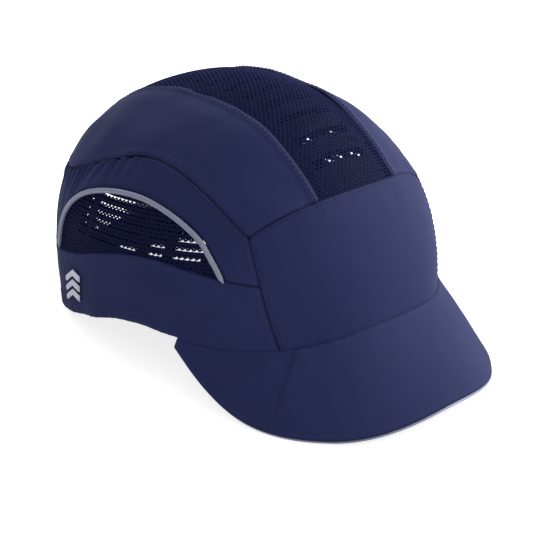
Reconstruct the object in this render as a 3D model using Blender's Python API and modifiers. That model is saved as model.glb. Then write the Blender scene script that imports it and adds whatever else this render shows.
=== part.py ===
"""Bump cap: fabric cap over a vented protective shell, with a short peak and a rear strap.

The cap stands as it does on a table, on the front edge of its peak and on its rear rim.
Front is -Y, the wearer's right is -X and +Z is up. Lengths are millimetres until a mesh
is made, which is when they become metres.
"""

import math

import bmesh
import bpy
import numpy as np
from mathutils import Matrix, Vector

MM = 0.001
SHARP_ANGLE = math.radians(35)

# Driving dimensions of the outer surface.
HALF_WIDTH = 92.0
FRONT_REACH = 104.0
REAR_REACH = 105.5
CROWN_HEIGHT = 128.0
CROWN_SHIFT = 4.5
FRONT_PLAN_POWER = 2.06
REAR_PLAN_POWER = 2.2
# Wall profile by direction: exponents of the vertical curve and how far the rim draws in.
PROFILE = {"front": (2.15, 1.97, 0.08), "side": (3.6, 1.53, 0.057), "rear": (3.55, 1.68, 0.10)}
VIEW_CENTRE = np.array([0.0, 2.0, 40.0])
# The plan centre of the head lies this far behind the middle of the whole cap.
ORIGIN_Y = 16.25

# Seams and edges of the fabric.
FABRIC = 1.0
SEAM_GAP = 0.4
FRONT_SEAM_X = 62.0
FRONT_SEAM_Z = 62.0
FRONT_SEAM_BEND = 0.005
ARC_TOP = 100.5
RIM_SIDE = 29.5
RIM_REAR = -0.2
BAND_WIDTH = 34.2
MESH_HALF = 26.0
PEAK_TUCK = 2.0
PEAK_ROOM = 0.75
PEAK_LEAN = 0.85
PEAK_ROOM_EDGE = 2.5
FRONT_TOP_Y = -67.5
# Side vent arch, as points in the side view (y, z); it starts and ends on the band.
VENT_ARCH = [(-53, 61), (-46, 69), (-36, 77.5), (-20, 83.5), (-2, 85.5), (18, 82.5), (36, 75.5),
             (48, 66), (55, 54), (57, 38)]
PIPING_RADIUS = 1.3
PIPING_ROOM = 1.7
OPENING_HALF = 36.0
OPENING_HEIGHT = 46.0
BINDING_RADIUS = 1.5
BINDING_ROOM = 1.85
BINDING_FOOT = 2.0

# Peak.
PEAK_LENGTH = 100.0
PEAK_CORNER = 84.0
PEAK_CORNER_Y = -37.0
PEAK_POWER = 2.32
PEAK_ROOT = 35.2
PEAK_SLOPE = 0.740
PEAK_BOW = 0.0066
PEAK_EAR_BOW = 0.013
PEAK_EAR_X = 60.0
PEAK_COVER = 0.7
PEAK_BOARD = 1.2
LAYER_GAP = 0.3

# Inside of the cap: how deep each layer starts under the outer surface.
SHELL_DEPTH = 1.8
SHELL_WALL = 2.0
LINER_DEPTH = 4.8
SHELL_LIFT = 13.0
SHELL_REAR_EDGE = 56.0
SLOT_ROWS = 6
SLOT_PITCH = 3.9
SLOT_HEIGHT = 2.1
SLOT_LOWEST = 57.5
SLOT_TILT = 0.15
SLOT_MIDDLE_Y = 20.0
SLOT_COLUMNS = [(-39, -25), (-21, -12), (-6, 28), (32, 40)]
CROWN_SLOTS = [-52, -40, -28, -16, -4, 8, 20, 32, 44]
CROWN_SLOT_HALF = (17.0, 2.0)
SWEATBAND_LOW = 1.5
SWEATBAND_HIGH = 27.0
SWEATBAND_THICK = 2.2
SWEATBAND_END = math.radians(127)
HEM_LOW = 1.0
HEM_HIGH = 9.5
HEM_THICK = 2.0
HEM_DEPTH = 2.0
HEM_CLEAR = 0.035
PAD_THICK = 4.0
# Pads, as directions in radians and heights on the wall.
SIDE_PAD = (1.2, 2.0, 88.0, 104.0)
FRONT_PAD = (-0.62, 0.62, 68.0, 90.0)
REAR_PAD = (2.72, 3.56, 60.0, 84.0)
CROWN_PAD_HALF = 34.0
CROWN_PAD_Y = (-40.0, 44.0)
LABEL = (-2.16, -1.98, 6.0, 24.0)
LABEL_DEPTH = LINER_DEPTH + 3.7
LABEL_THICK = 0.4
# Embroidered badge: its run along the right band and its height above the rim.
BADGE_Y = (29.0, 43.0)
BADGE_RISE = (8.0, 25.0)
BADGE_THICK = 0.7
BADGE_PROUD = 1.1

# Rear adjuster: everything on it is turned about one upright axis.
RING_Y = 4.0
STRAP_OUTER = 89.6
STRAP_THICK = 1.3
STRAP_LOW = 4.5
STRAP_HIGH = 20.5
STRAP_MIDDLE = (STRAP_LOW + STRAP_HIGH) / 2
# Stretches round the ring, in degrees from straight behind, towards the wearer's left.
STRAP_RUN = (-9.7, 34.0)
TIP_RUN = (34.3, 37.2)
ELASTIC_RUN = (-23.8, -10.0)
RIGHT_TAB_RUN = (-38.0, -24.1)
LEFT_TAB_RUN = (22.6, 39.0)
TIP_THICK = 2.4
TAB_THICK = 1.1
TAB_FOLDED = 2.2
TAB_CLEAR = 0.4
BUCKLE_ANGLE = 9.5
BUCKLE_LENGTH = 24.0
BUCKLE_HEIGHT = 22.0
BUCKLE_FLOOR = 1.3
CHANNEL_DEPTH = 3.1
CHANNEL_ROOM = 0.45
CHANNEL_HEIGHT = 16.8
POCKET_HEIGHT = 13.6
PIN_RADIUS = 1.0
PIN_CLEAR = 0.3
PIN_ALONG = 5.5
PIN_OUT = 4.2
BUCKLE_PROUD = 2.2
POCKET_END = 3.8
LEVER_WIDTH = 13.0
LEVER_LENGTH = 15.0
LEVER_HUB = 2.5
LEVER_PLATE = (0.5, 2.4)


def lerp(a, b, t):
    return a + (b - a) * t


def smooth(t):
    """Rises from 0 to 1 with level ends."""
    t = np.clip(t, 0, 1)
    return t * t * (3 - 2 * t)


def bisect(above, low, high, steps=40):
    """Root of an increasing test, for whole arrays at once."""
    for _ in range(steps):
        middle = (low + high) / 2
        over = above(middle) > 0
        high = np.where(over, middle, high)
        low = np.where(over, low, middle)
    return (low + high) / 2


def wall_share(z, phi, depth):
    """Share of the plan outline that the wall keeps at height z, in direction phi."""
    squared = np.cos(phi) ** 2
    front = np.where(np.cos(phi) > 0, squared, 0)
    rear = squared - front
    weights = (front, 1 - squared, rear)
    bend, fall, draw = (sum(w * PROFILE[k][i] for w, k in zip(weights, PROFILE)) for i in range(3))
    s = np.clip(z / (CROWN_HEIGHT - depth), 0, 1)
    return np.clip(1 - s**bend, 0, 1) ** (1 / fall) * (1 - draw * (1 - s) ** 4)


def crown_shift(z):
    return CROWN_SHIFT * np.clip(z / CROWN_HEIGHT, 0, 1) ** 1.5


def wall(phi, z, depth=0.0):
    """Point of the outer surface: phi is 0 at the front, 90 degrees at +X, 180 at the rear."""
    phi, z = np.broadcast_arrays(np.asarray(phi, float), np.asarray(z, float))
    front = np.cos(phi) > 0
    reach = np.where(front, FRONT_REACH, REAR_REACH) - depth
    power = 2 / np.where(front, FRONT_PLAN_POWER, REAR_PLAN_POWER)
    x = (HALF_WIDTH - depth) * np.sign(np.sin(phi)) * np.abs(np.sin(phi)) ** power
    y = -reach * np.sign(np.cos(phi)) * np.abs(np.cos(phi)) ** power
    share = wall_share(z, phi, depth)
    return np.stack([x * share, y * share + crown_shift(z), z], -1)


def outside(points, depth=0.0):
    """Positive outside the outer surface, negative inside it."""
    x, y, z = np.moveaxis(points, -1, 0)
    y = y - crown_shift(z)
    front = y < 0
    power = np.where(front, FRONT_PLAN_POWER, REAR_PLAN_POWER)
    across = np.abs(x) / (HALF_WIDTH - depth)
    along = np.abs(y) / (np.where(front, FRONT_REACH, REAR_REACH) - depth)
    phi = np.arctan2(across ** (power / 2), np.where(front, 1, -1) * along ** (power / 2))
    size = (across**power + along**power) ** (1 / power)
    return np.where(z > CROWN_HEIGHT - depth, 1.0, size - wall_share(z, phi, depth))


def onto_wall(points, depth=0.0):
    """Moves points along rays from the middle of the cap until they lie on the surface."""
    rays = points - VIEW_CENTRE
    rays = rays / np.linalg.norm(rays, axis=-1, keepdims=True)
    low = np.zeros(points.shape[:-1])
    reach = bisect(lambda r: outside(VIEW_CENTRE + rays * r[..., None], depth), low, low + 170)
    return VIEW_CENTRE + rays * reach[..., None]


def roof(x, y, depth=0.0):
    """Point of the surface straight above (x, y)."""
    x, y = np.broadcast_arrays(np.asarray(x, float), np.asarray(y, float))
    low = np.full(x.shape, 45.0)
    z = bisect(lambda h: outside(np.stack([x, y, h], -1), depth), low, low + 90)
    return np.stack([x, y, z], -1)


def on_curve(phi, curve, depth=0.0):
    """Height at which the wall in direction phi meets a side-view curve z = curve(y)."""
    phi = np.asarray(phi, float)
    low = np.full(phi.shape, -5.0)
    return bisect(lambda z: z - curve(wall(phi, z, depth)[..., 1]), low, low + 125)


def rim(y):
    """Lower edge of the sides: level under the temples, dipping to the nape."""
    return lerp(RIM_SIDE, RIM_REAR, smooth((y + 25) / 105))


def band_line(y):
    """Seam between the lower band and the side panels."""
    return rim(y) + BAND_WIDTH - 0.07 * np.clip(-30 - y, 0, None)


def arc_line(y):
    """Seam that arches over the side vent and runs on to the rear."""
    front = ARC_TOP - 0.0062 * (y - 2) ** 2
    rear = ARC_TOP - 36 * (1 - np.exp(-(((y - 2) / 58) ** 2)))
    return np.where(y < 2, front, rear)


def front_seam_x(z):
    return FRONT_SEAM_X - FRONT_SEAM_BEND * (z - FRONT_SEAM_Z) ** 2


def peak_surface(x, y):
    """Height of the top of the peak: a slope that bows down towards both sides."""
    ears = np.clip(np.abs(x) - PEAK_EAR_X, 0, None)
    return PEAK_ROOT + PEAK_SLOPE * (y + FRONT_REACH) - PEAK_BOW * x**2 - PEAK_EAR_BOW * ears**2


def peak_seam(phi):
    """Height at which the peak meets the wall."""
    phi = np.asarray(phi, float)
    low = np.zeros(phi.shape)
    seat = -SEAM_GAP

    def above(z):
        at = wall(phi, z, seat)
        return z - peak_surface(at[..., 0], at[..., 1])

    return bisect(above, low, low + 60)


def corner_angle():
    """Direction in which the peak's rear corner meets the wall."""
    return float(bisect(lambda a: wall(a, RIM_SIDE)[..., 1] - PEAK_CORNER_Y, 0.3, 2.0))


def low_edge(phi):
    """Lower edge of the fabric: tucked behind the peak at the front, then the rim."""
    phi = np.abs(np.asarray(phi, float))
    return np.where(phi < corner_angle(), peak_seam(phi) - PEAK_TUCK, on_curve(phi, rim))


def front_seam(z):
    """Direction in which the front seam crosses height z."""
    z = np.asarray(z, float)
    low = np.full(z.shape, 0.2)
    return bisect(lambda a: wall(a, z)[..., 0] - front_seam_x(z), low, low + 1.2)


def seam_corner():
    """Direction of the point where the front, arc and front-top seams meet."""
    def beyond(a):
        at = wall(a, on_curve(a, arc_line))
        return at[..., 0] - front_seam_x(at[..., 2])

    return float(bisect(beyond, 0.4, 1.6))


def arc_azimuth(x):
    """Rear direction in which the arc seam is x from the middle."""
    x = np.asarray(x, float)
    low = np.full(x.shape, 1.8)
    return bisect(lambda a: x - wall(a, on_curve(a, arc_line))[..., 0], low, low + 1.3415926)


CORNER_PHI = corner_angle()
SEAM_PHI = seam_corner()
SEAM_POINT = wall(SEAM_PHI, on_curve(SEAM_PHI, arc_line))


def front_top(x):
    """Upper edge of the front panel in the plan view."""
    return FRONT_TOP_Y + (SEAM_POINT[1] - FRONT_TOP_Y) * (x / SEAM_POINT[0]) ** 2


def coons(u, v, low, high, left, right):
    """Patch spanned between four edge curves that share their corners."""
    u, v = u[:, None], v[:, None]
    ends = [low(np.zeros(1)), low(np.ones(1)), high(np.zeros(1)), high(np.ones(1))]
    across = lerp(low(u[:, 0]), high(u[:, 0]), v)
    along = lerp(left(v[:, 0]), right(v[:, 0]), u)
    corners = lerp(lerp(ends[0], ends[1], u), lerp(ends[2], ends[3], u), v)
    return across + along - corners


# Scene helpers.


def clear_scene():
    for old in list(bpy.data.objects):
        bpy.data.objects.remove(old, do_unlink=True)
    for name in ("bump_cap", "cutters"):
        bpy.context.scene.collection.children.link(bpy.data.collections.new(name))


def finish(name, hex_colour, roughness, metallic=0.0):
    """Principled material from an sRGB colour."""
    channels = [int(hex_colour[i : i + 2], 16) / 255 for i in (0, 2, 4)]
    linear = [c / 12.92 if c <= 0.04045 else ((c + 0.055) / 1.055) ** 2.4 for c in channels]
    material = bpy.data.materials.new(name)
    material.use_nodes = True
    shader = material.node_tree.nodes["Principled BSDF"]
    shader.inputs["Base Color"].default_value = (*linear, 1)
    shader.inputs["Roughness"].default_value = roughness
    shader.inputs["Metallic"].default_value = metallic
    return material


def add_object(name, mesh, material):
    part = bpy.data.objects.new(name, mesh)
    bpy.data.collections["bump_cap"].objects.link(part)
    part.data.materials.append(material)
    part.data.shade_smooth()
    part.data.set_sharp_from_angle(angle=SHARP_ANGLE)
    return part


def face_out(mesh_data, centre):
    """Turns an open surface so that its faces point away from the centre."""
    turn = sum((f.calc_center_median() - centre).dot(f.normal) * f.calc_area() for f in mesh_data.faces)
    if turn < 0:
        bmesh.ops.reverse_faces(mesh_data, faces=mesh_data.faces)


def sheet(name, shape, across, along, thick, material, centre=(0, 0, 0.04)):
    """Grid laid on a surface, thickened inwards. shape maps (u, v) in 0..1 to points."""
    surface = bmesh.new()
    bmesh.ops.create_grid(surface, x_segments=across, y_segments=along, size=0.5)
    flat = np.array([vertex.co[:2] for vertex in surface.verts]) + 0.5
    for vertex, point in zip(surface.verts, shape(flat[:, 0], flat[:, 1])):
        vertex.co = Vector(point) * MM
    surface.normal_update()
    face_out(surface, Vector(centre))
    mesh = bpy.data.meshes.new(name)
    surface.to_mesh(mesh)
    surface.free()
    part = add_object(name, mesh, material)
    wall_modifier = part.modifiers.new("thickness", "SOLIDIFY")
    wall_modifier.thickness = thick * MM
    wall_modifier.offset = -1
    return part


def mirrored(shape, side):
    """The same patch on the wearer's left (side 1) or right (side -1)."""
    return lambda u, v: shape(u, v) * np.array([side, 1, 1])


def inset(shape, margin_u, margin_v):
    """Draws a patch in from its seams by a share of its size."""
    return lambda u, v: shape(lerp(margin_u, 1 - margin_u, u), lerp(margin_v, 1 - margin_v, v))


def piece_in(collection, name, shape):
    """Object in a collection; one among the cutters is only a helper."""
    mesh = bpy.data.meshes.new(name)
    shape.to_mesh(mesh)
    shape.free()
    made = bpy.data.objects.new(name, mesh)
    bpy.data.collections[collection].objects.link(made)
    if collection == "cutters":
        made.hide_render = True
        made.display_type = "WIRE"
    return made


def prism(name, outline, axis, low, high):
    """Cutter: an outline in the view along an axis, drawn out between two stations."""
    cutter = bmesh.new()
    order = {"x": (2, 0, 1), "y": (0, 2, 1)}[axis]
    rim_points = [np.array([a, b, low])[list(order)] for a, b in outline]
    face = cutter.faces.new([cutter.verts.new(Vector(p) * MM) for p in rim_points])
    drawn = bmesh.ops.extrude_face_region(cutter, geom=[face])["geom"]
    shift = Vector(np.array([0, 0, high - low])[list(order)]) * MM
    for item in drawn:
        if isinstance(item, bmesh.types.BMVert):
            item.co += shift
    bmesh.ops.recalc_face_normals(cutter, faces=cutter.faces)
    return piece_in("cutters", name, cutter)


def cut(part, helper, operation="DIFFERENCE"):
    modifier = part.modifiers.new(helper.name, "BOOLEAN")
    modifier.operation = operation
    modifier.object = helper


def smooth_line(points, count):
    """Catmull-Rom curve through hand-set points, as evenly spread samples."""
    points = np.array(points, float)
    padded = np.vstack([2 * points[0] - points[1], points, 2 * points[-1] - points[-2]])
    dense = []
    for i in range(len(points) - 1):
        a, b, c, d = padded[i : i + 4]
        t = np.linspace(0, 1, 25)[:, None]
        dense.append(0.5 * (2 * b + (c - a) * t + (2 * a - 5 * b + 4 * c - d) * t**2
                            + (3 * b - a - 3 * c + d) * t**3))
    dense = np.vstack(dense)
    run = np.concatenate([[0], np.cumsum(np.linalg.norm(np.diff(dense, axis=0), axis=1))])
    stations = np.linspace(0, run[-1], count)
    return np.stack([np.interp(stations, run, dense[:, i]) for i in range(dense.shape[1])], -1)


def offset_line(points, distance):
    """Moves a plane curve sideways, to the left of its direction of travel."""
    along = np.gradient(points, axis=0)
    along /= np.linalg.norm(along, axis=1, keepdims=True)
    return points + distance * np.stack([-along[:, 1], along[:, 0]], -1)


def tube(name, points, radius, material):
    """Round cord along a curve, with closed ends."""
    data = bpy.data.curves.new(name, "CURVE")
    data.dimensions = "3D"
    data.bevel_depth = radius * MM
    data.bevel_resolution = 1
    data.use_fill_caps = True
    spline = data.splines.new("POLY")
    spline.points.add(len(points) - 1)
    for target, point in zip(spline.points, points):
        target.co = (*(Vector(point) * MM), 1)
    cord = bpy.data.objects.new(name, data)
    bpy.data.collections["bump_cap"].objects.link(cord)
    cord.data.materials.append(material)
    return cord


# Fabric panels.


def crown_panel(u, v):
    """Upper side panel, from the arc seam (v=0) up to the crown mesh (v=1)."""
    end = float(arc_azimuth(MESH_HALF + 1.5))
    rear = wall(end, on_curve(end, arc_line))
    mesh_start = roof(MESH_HALF, front_top(MESH_HALF))
    mesh_end = onto_wall(rear + np.array([MESH_HALF - rear[0], 0, 3.0]))

    def arc(t):
        phi = lerp(SEAM_PHI, end, t)
        return wall(phi, on_curve(phi, arc_line))

    def mesh_edge(t):
        turn = [math.atan2(p[1], p[2] - VIEW_CENTRE[2]) for p in (mesh_start, mesh_end)]
        angle = lerp(turn[0], turn[1], t)
        return strip_point(np.full(t.shape, MESH_HALF), angle)

    def top_seam(t):
        x = lerp(SEAM_POINT[0], MESH_HALF, t)
        return roof(x, front_top(x))

    def tip(t):
        return onto_wall(lerp(rear, mesh_edge(np.ones(1))[0], t[:, None]))

    return onto_wall(coons(u, v, arc, mesh_edge, top_seam, tip))


def strip_point(x, angle, depth=0.0):
    """Point of the surface at a given x, angle round the crown from straight up."""
    ray = np.stack([np.zeros(x.shape), np.sin(angle), np.cos(angle)], -1)
    start = np.stack([x, np.zeros(x.shape), np.full(x.shape, VIEW_CENTRE[2])], -1)
    low = np.zeros(x.shape)
    reach = bisect(lambda r: outside(start + ray * r[..., None], depth), low, low + 150)
    return start + ray * reach[..., None]


def strip_angle(point):
    return np.arctan2(point[..., 1], point[..., 2] - VIEW_CENTRE[2])


def crown_mesh(u, v, depth=0.0):
    """Middle strip of netting, front (v=0) to rear (v=1)."""
    x = lerp(-MESH_HALF, MESH_HALF, u)
    start = strip_angle(roof(x, front_top(x)))
    phi = arc_azimuth(np.maximum(np.abs(x), 0.05))
    end = strip_angle(wall(phi, on_curve(phi, arc_line)))
    return strip_point(x, lerp(start, end, v), depth)


def front_panel(u, v):
    """Front panel between the two front seams, from behind the peak to its top seam."""
    foot = float(front_seam(30.0))
    for _ in range(4):
        foot = float(front_seam(low_edge(foot)))

    def bottom(t):
        phi = lerp(-foot, foot, t)
        return wall(phi, low_edge(phi))

    def top(t):
        x = lerp(-SEAM_POINT[0], SEAM_POINT[0], t)
        return roof(x, front_top(x))

    def seam(side):
        def edge(t):
            z = lerp(float(low_edge(foot)), SEAM_POINT[2], t)
            return wall(front_seam(z), z) * np.array([side, 1, 1])

        return edge

    return onto_wall(coons(u, v, bottom, top, seam(-1), seam(1)))


def between(low_line, high_line, rear_end):
    """Patch from the front seam (u=0) round to the rear, between two height functions."""
    def shape(u, v):
        z = np.full(u.shape, 60.0)
        for _ in range(5):
            phi = lerp(front_seam(z), rear_end, u)
            z = lerp(low_line(phi), high_line(phi), v)
        return wall(phi, z)

    return shape


def band_height(phi):
    return on_curve(phi, band_line)


def arc_height(phi):
    return on_curve(phi, arc_line)


def side_to_wall(points):
    """Takes side-view points (y, z) onto the wall at +X."""
    y, z = np.asarray(points).T
    low = np.full(y.shape, 0.15)
    phi = bisect(lambda a: wall(a, z)[..., 1] - y, low, low + 2.95)
    return wall(phi, z)


def rear_to_wall(points):
    """Takes rear-view points (x, z) onto the wall at the back."""
    x, z = np.asarray(points).T
    low = np.full(x.shape, math.pi / 2 + 0.2)
    phi = bisect(lambda a: np.abs(x) - wall(a, z)[..., 0], low, low * 0 + math.pi)
    return wall(phi, z) * np.stack([np.sign(x + 1e-9), np.ones(x.shape), np.ones(x.shape)], -1)


def vent_outline(distance):
    """Closed side-view outline of the vent arch, grown or shrunk by a distance."""
    arch = offset_line(smooth_line(VENT_ARCH, 26), distance)
    return [*arch, (arch[-1][0], 15.0), (arch[0][0], 15.0)]


def opening_outline(distance, foot=-8.0):
    """Closed rear-view outline of the opening over the strap."""
    turn = np.linspace(0, math.pi, 21)
    half = OPENING_HALF + distance
    arch = np.stack([half * np.cos(turn), (OPENING_HEIGHT + distance) * np.sin(turn)], -1)
    return [*arch, (-half, foot), (half, foot)]


def build_fabric(navy, net, reflective, tape):
    opening = prism("cut_rear_opening", opening_outline(BINDING_ROOM), "y", 60, 130)
    sheet("front_panel", inset(front_panel, 0.0022, 0.003), 12, 6, FABRIC, navy)
    sheet("crown_mesh", inset(crown_mesh, 0.006, 0.0012), 4, 16, FABRIC, net)
    band = between(low_edge, band_height, math.pi)
    side = between(band_height, arc_height, math.pi)
    for label, sign in (("left", 1), ("right", -1)):
        room = prism(f"cut_vent_{label}", vent_outline(PIPING_ROOM), "x", 30 * sign, 130 * sign)
        core = prism(f"keep_vent_{label}", vent_outline(-PIPING_ROOM), "x", 30 * sign, 130 * sign)
        upper = mirrored(inset(crown_panel, 0.0018, 0.005), sign)
        middle = mirrored(inset(side, 0.0012, 0.006), sign)
        lower = mirrored(inset(band, 0.0012, 0.006), sign)
        sheet(f"crown_panel_{label}", upper, 13, 4, FABRIC, navy)
        cut(sheet(f"band_{label}", lower, 20, 2, FABRIC, navy), opening)
        panel = sheet(f"side_panel_{label}", middle, 20, 4, FABRIC, navy)
        cut(panel, room)
        cut(panel, opening)
        cut(sheet(f"side_mesh_{label}", middle, 18, 4, FABRIC, net), core, "INTERSECT")
        arch = side_to_wall(smooth_line(VENT_ARCH, 24)[:-1]) * np.array([sign, 1, 1])
        tube(f"side_piping_{label}", arch[1:], PIPING_RADIUS, reflective)
    arch = rear_to_wall(opening_outline(0)[:21])
    for foot, leg in ((0, 1), (-1, -2)):
        arch[foot] = (*arch[leg][:2], BINDING_FOOT)
    tube("opening_binding", arch, BINDING_RADIUS, tape)


# Peak.


def peak_layer(sunk, back=0.0):
    """Surface sunk below the top of the peak, u across and v from root to edge."""
    def shape(u, v):
        t = lerp(-1, 1, u)
        phi = t * CORNER_PHI
        root = wall(phi, peak_seam(phi), -PEAK_ROOM - PEAK_LEAN * sunk)
        turn = t * math.pi / 2
        edge_x = PEAK_CORNER * np.sign(turn) * np.abs(np.sin(turn)) ** (2 / PEAK_POWER)
        edge_x = edge_x + PEAK_ROOM_EDGE * np.sin(turn)
        edge_y = PEAK_CORNER_Y - PEAK_LENGTH * np.abs(np.cos(turn)) ** (2 / PEAK_POWER)
        reach = v * (1 - back)
        x = lerp(root[..., 0], edge_x, reach)
        y = lerp(root[..., 1], edge_y, reach)
        top = np.stack([x, y, peak_surface(x, y)], -1)
        ears = np.clip(np.abs(x) - PEAK_EAR_X, 0, None)
        fall = 2 * PEAK_BOW * x + 2 * PEAK_EAR_BOW * ears * np.sign(x)
        normal = np.stack([fall, np.full(x.shape, -PEAK_SLOPE), np.ones(x.shape)], -1)
        normal /= np.linalg.norm(normal, axis=-1, keepdims=True)
        return top - normal * sunk

    return shape


def build_peak(navy, board, reflective):
    under = (0, 0, -1)
    sheet("peak_top_cover", peak_layer(0), 24, 4, PEAK_COVER, navy, under)
    drop = PEAK_COVER + LAYER_GAP
    sheet("peak_board", peak_layer(drop, 0.09), 24, 3, PEAK_BOARD, board, under)
    lower = drop + PEAK_BOARD + LAYER_GAP
    sheet("peak_under_cover", peak_layer(lower), 24, 4, PEAK_COVER, navy, under)
    turns = np.linspace(0.045, 0.955, 29)
    middle = drop + PEAK_BOARD / 2
    edge = peak_layer(middle, 0.03)(turns, np.ones(29))
    tube("peak_piping", edge, PEAK_BOARD / 2 + 0.15, reflective)


# Inside of the cap.


def shell_edge(phi):
    """Lower edge of the hard shell: above the rim, and lifted clear of the rear opening."""
    y = wall(phi, 40.0)[..., 1]
    edge = low_edge(phi) + SHELL_LIFT
    return lerp(edge, SHELL_REAR_EDGE, smooth((y - 42) / 34))


def build_shell(plastic):
    """Dome from the upper half of a sphere, each vertex moved onto the shell's surface."""
    dome = bmesh.new()
    bmesh.ops.create_uvsphere(dome, u_segments=36, v_segments=14, radius=1)
    lower = [vertex for vertex in dome.verts if vertex.co.z < -0.01]
    bmesh.ops.delete(dome, geom=lower, context="VERTS")
    at = np.array([vertex.co for vertex in dome.verts])
    phi = np.arctan2(at[:, 0], -at[:, 1])
    rise = np.arcsin(np.clip(at[:, 2], 0, 1)) / (math.pi / 2)
    low = wall(phi, shell_edge(phi), SHELL_DEPTH)
    top = np.array([0, CROWN_SHIFT, CROWN_HEIGHT - SHELL_DEPTH])
    low_turn = np.arctan2(low[:, 2] - VIEW_CENTRE[2], np.hypot(low[:, 0], low[:, 1] - VIEW_CENTRE[1]))
    turn = lerp(low_turn, math.pi / 2, rise)
    flat = (low - VIEW_CENTRE)[:, :2]
    flat /= np.linalg.norm(flat, axis=1, keepdims=True)
    rays = np.concatenate([flat * np.cos(turn)[:, None], np.sin(turn)[:, None]], axis=1)
    points = onto_wall(VIEW_CENTRE + rays, SHELL_DEPTH)
    points[rise > 0.999] = top - np.array([0, CROWN_SHIFT - VIEW_CENTRE[1], 0.0])
    for vertex, point in zip(dome.verts, points):
        vertex.co = Vector(point) * MM
    dome.normal_update()
    face_out(dome, Vector((0, 0, 0.04)))
    mesh = bpy.data.meshes.new("protective_shell")
    dome.to_mesh(mesh)
    dome.free()
    shell = add_object("protective_shell", mesh, plastic)
    thickness = shell.modifiers.new("thickness", "SOLIDIFY")
    thickness.thickness = SHELL_WALL * MM
    thickness.offset = -1
    for row in range(SLOT_ROWS):
        for column, (front, rear) in enumerate(SLOT_COLUMNS):
            base = [SLOT_LOWEST + row * SLOT_PITCH - SLOT_TILT * (y - SLOT_MIDDLE_Y) for y in (front, rear)]
            outline = [(front, base[0]), (rear, base[1]), (rear, base[1] + SLOT_HEIGHT),
                       (front, base[0] + SLOT_HEIGHT)]
            cut(shell, prism(f"slot_{row}_{column}", outline, "x", -120, 120))
    half_x, half_y = CROWN_SLOT_HALF
    for row, y in enumerate(CROWN_SLOTS):
        outline = [(y - half_y, 80), (y + half_y, 80), (y + half_y, 140), (y - half_y, 140)]
        cut(shell, prism(f"crown_slot_{row}", outline, "x", -half_x, half_x))


def strip(phi_start, phi_end, low, high, depth):
    """Patch between two directions and two height functions, at a depth under the surface."""
    def shape(u, v):
        phi = lerp(phi_start, phi_end, u)
        return wall(phi, lerp(low(phi), high(phi), v), depth)

    return shape


def above_edge(lift):
    return lambda phi: low_edge(phi) + lift


def at_height(z):
    return lambda phi: np.full(np.shape(phi), z)


def pad(name, area, side, columns, material):
    """Foam pad against the inside of the shell."""
    start, stop, low, high = area
    shape = strip(start, stop, at_height(low), at_height(high), LINER_DEPTH)
    sheet(name, mirrored(shape, side), columns, 2, PAD_THICK, material)


def build_liner(foam, towel, tape, label_cloth):
    end = SWEATBAND_END
    band = strip(-end, end, above_edge(SWEATBAND_LOW), above_edge(SWEATBAND_HIGH), LINER_DEPTH)
    sheet("sweatband", band, 32, 1, SWEATBAND_THICK, towel)
    hem = strip(0.004, end - HEM_CLEAR, above_edge(HEM_LOW), above_edge(HEM_HIGH), HEM_DEPTH)
    for label, sign in (("left", 1), ("right", -1)):
        sheet(f"hem_tape_{label}", mirrored(hem, sign), 20, 1, HEM_THICK, tape)
        pad(f"side_pad_{label}", SIDE_PAD, sign, 6, foam)
    pad("front_pad", FRONT_PAD, 1, 8, foam)
    pad("rear_pad", REAR_PAD, 1, 6, foam)

    def crown(u, v):
        return roof(lerp(-CROWN_PAD_HALF, CROWN_PAD_HALF, u), lerp(*CROWN_PAD_Y, v), LINER_DEPTH)

    sheet("crown_pad", crown, 4, 6, PAD_THICK, foam)
    start, stop, low, high = LABEL
    tag = strip(start, stop, above_edge(low), above_edge(high), LABEL_DEPTH)
    sheet("care_label", tag, 3, 1, LABEL_THICK, label_cloth)


def build_emblem(thread):
    """Embroidered badge on the right band near the rear."""
    def shape(u, v):
        y = lerp(*BADGE_Y, u)
        points = side_to_wall(np.stack([y, rim(y) + lerp(*BADGE_RISE, v)], -1))
        outward = points - VIEW_CENTRE
        outward[:, 2] = 0
        outward /= np.linalg.norm(outward, axis=1, keepdims=True)
        return (points + outward * BADGE_PROUD) * np.array([-1, 1, 1])

    sheet("emblem_badge", shape, 5, 4, BADGE_THICK, thread)


# Rear adjuster.


def ring_point(degrees, radius, z):
    turn = np.radians(degrees)
    return np.stack([radius * np.sin(turn), RING_Y + radius * np.cos(turn), z + 0 * turn], -1)


def ring_sheet(name, start, stop, outer, thick, columns, material):
    """Curved strip about the adjuster's axis, with its origin on that axis."""
    def shape(u, v):
        return ring_point(lerp(start, stop, u), outer, lerp(STRAP_LOW, STRAP_HIGH, v))

    part = sheet(name, shape, columns, 1, thick, material)
    pivot = Vector((0, RING_Y, STRAP_MIDDLE)) * MM
    part.data.transform(Matrix.Translation(-pivot))
    part.location = pivot
    return part


def block(name, low, high, collection):
    """Box between two corners, in millimetres."""
    box = bmesh.new()
    bmesh.ops.create_cube(box, size=1)
    size = (Vector(high) - Vector(low)) * MM
    bmesh.ops.scale(box, verts=box.verts, vec=size)
    bmesh.ops.translate(box, verts=box.verts, vec=(Vector(high) + Vector(low)) / 2 * MM)
    return piece_in(collection, name, box)


def rod(name, radius, half_length, collection):
    """Upright round bar about the local origin, in millimetres."""
    bar = bmesh.new()
    bmesh.ops.create_cone(bar, cap_ends=True, segments=16, radius1=radius * MM, radius2=radius * MM,
                          depth=2 * half_length * MM)
    return piece_in(collection, name, bar)


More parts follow.
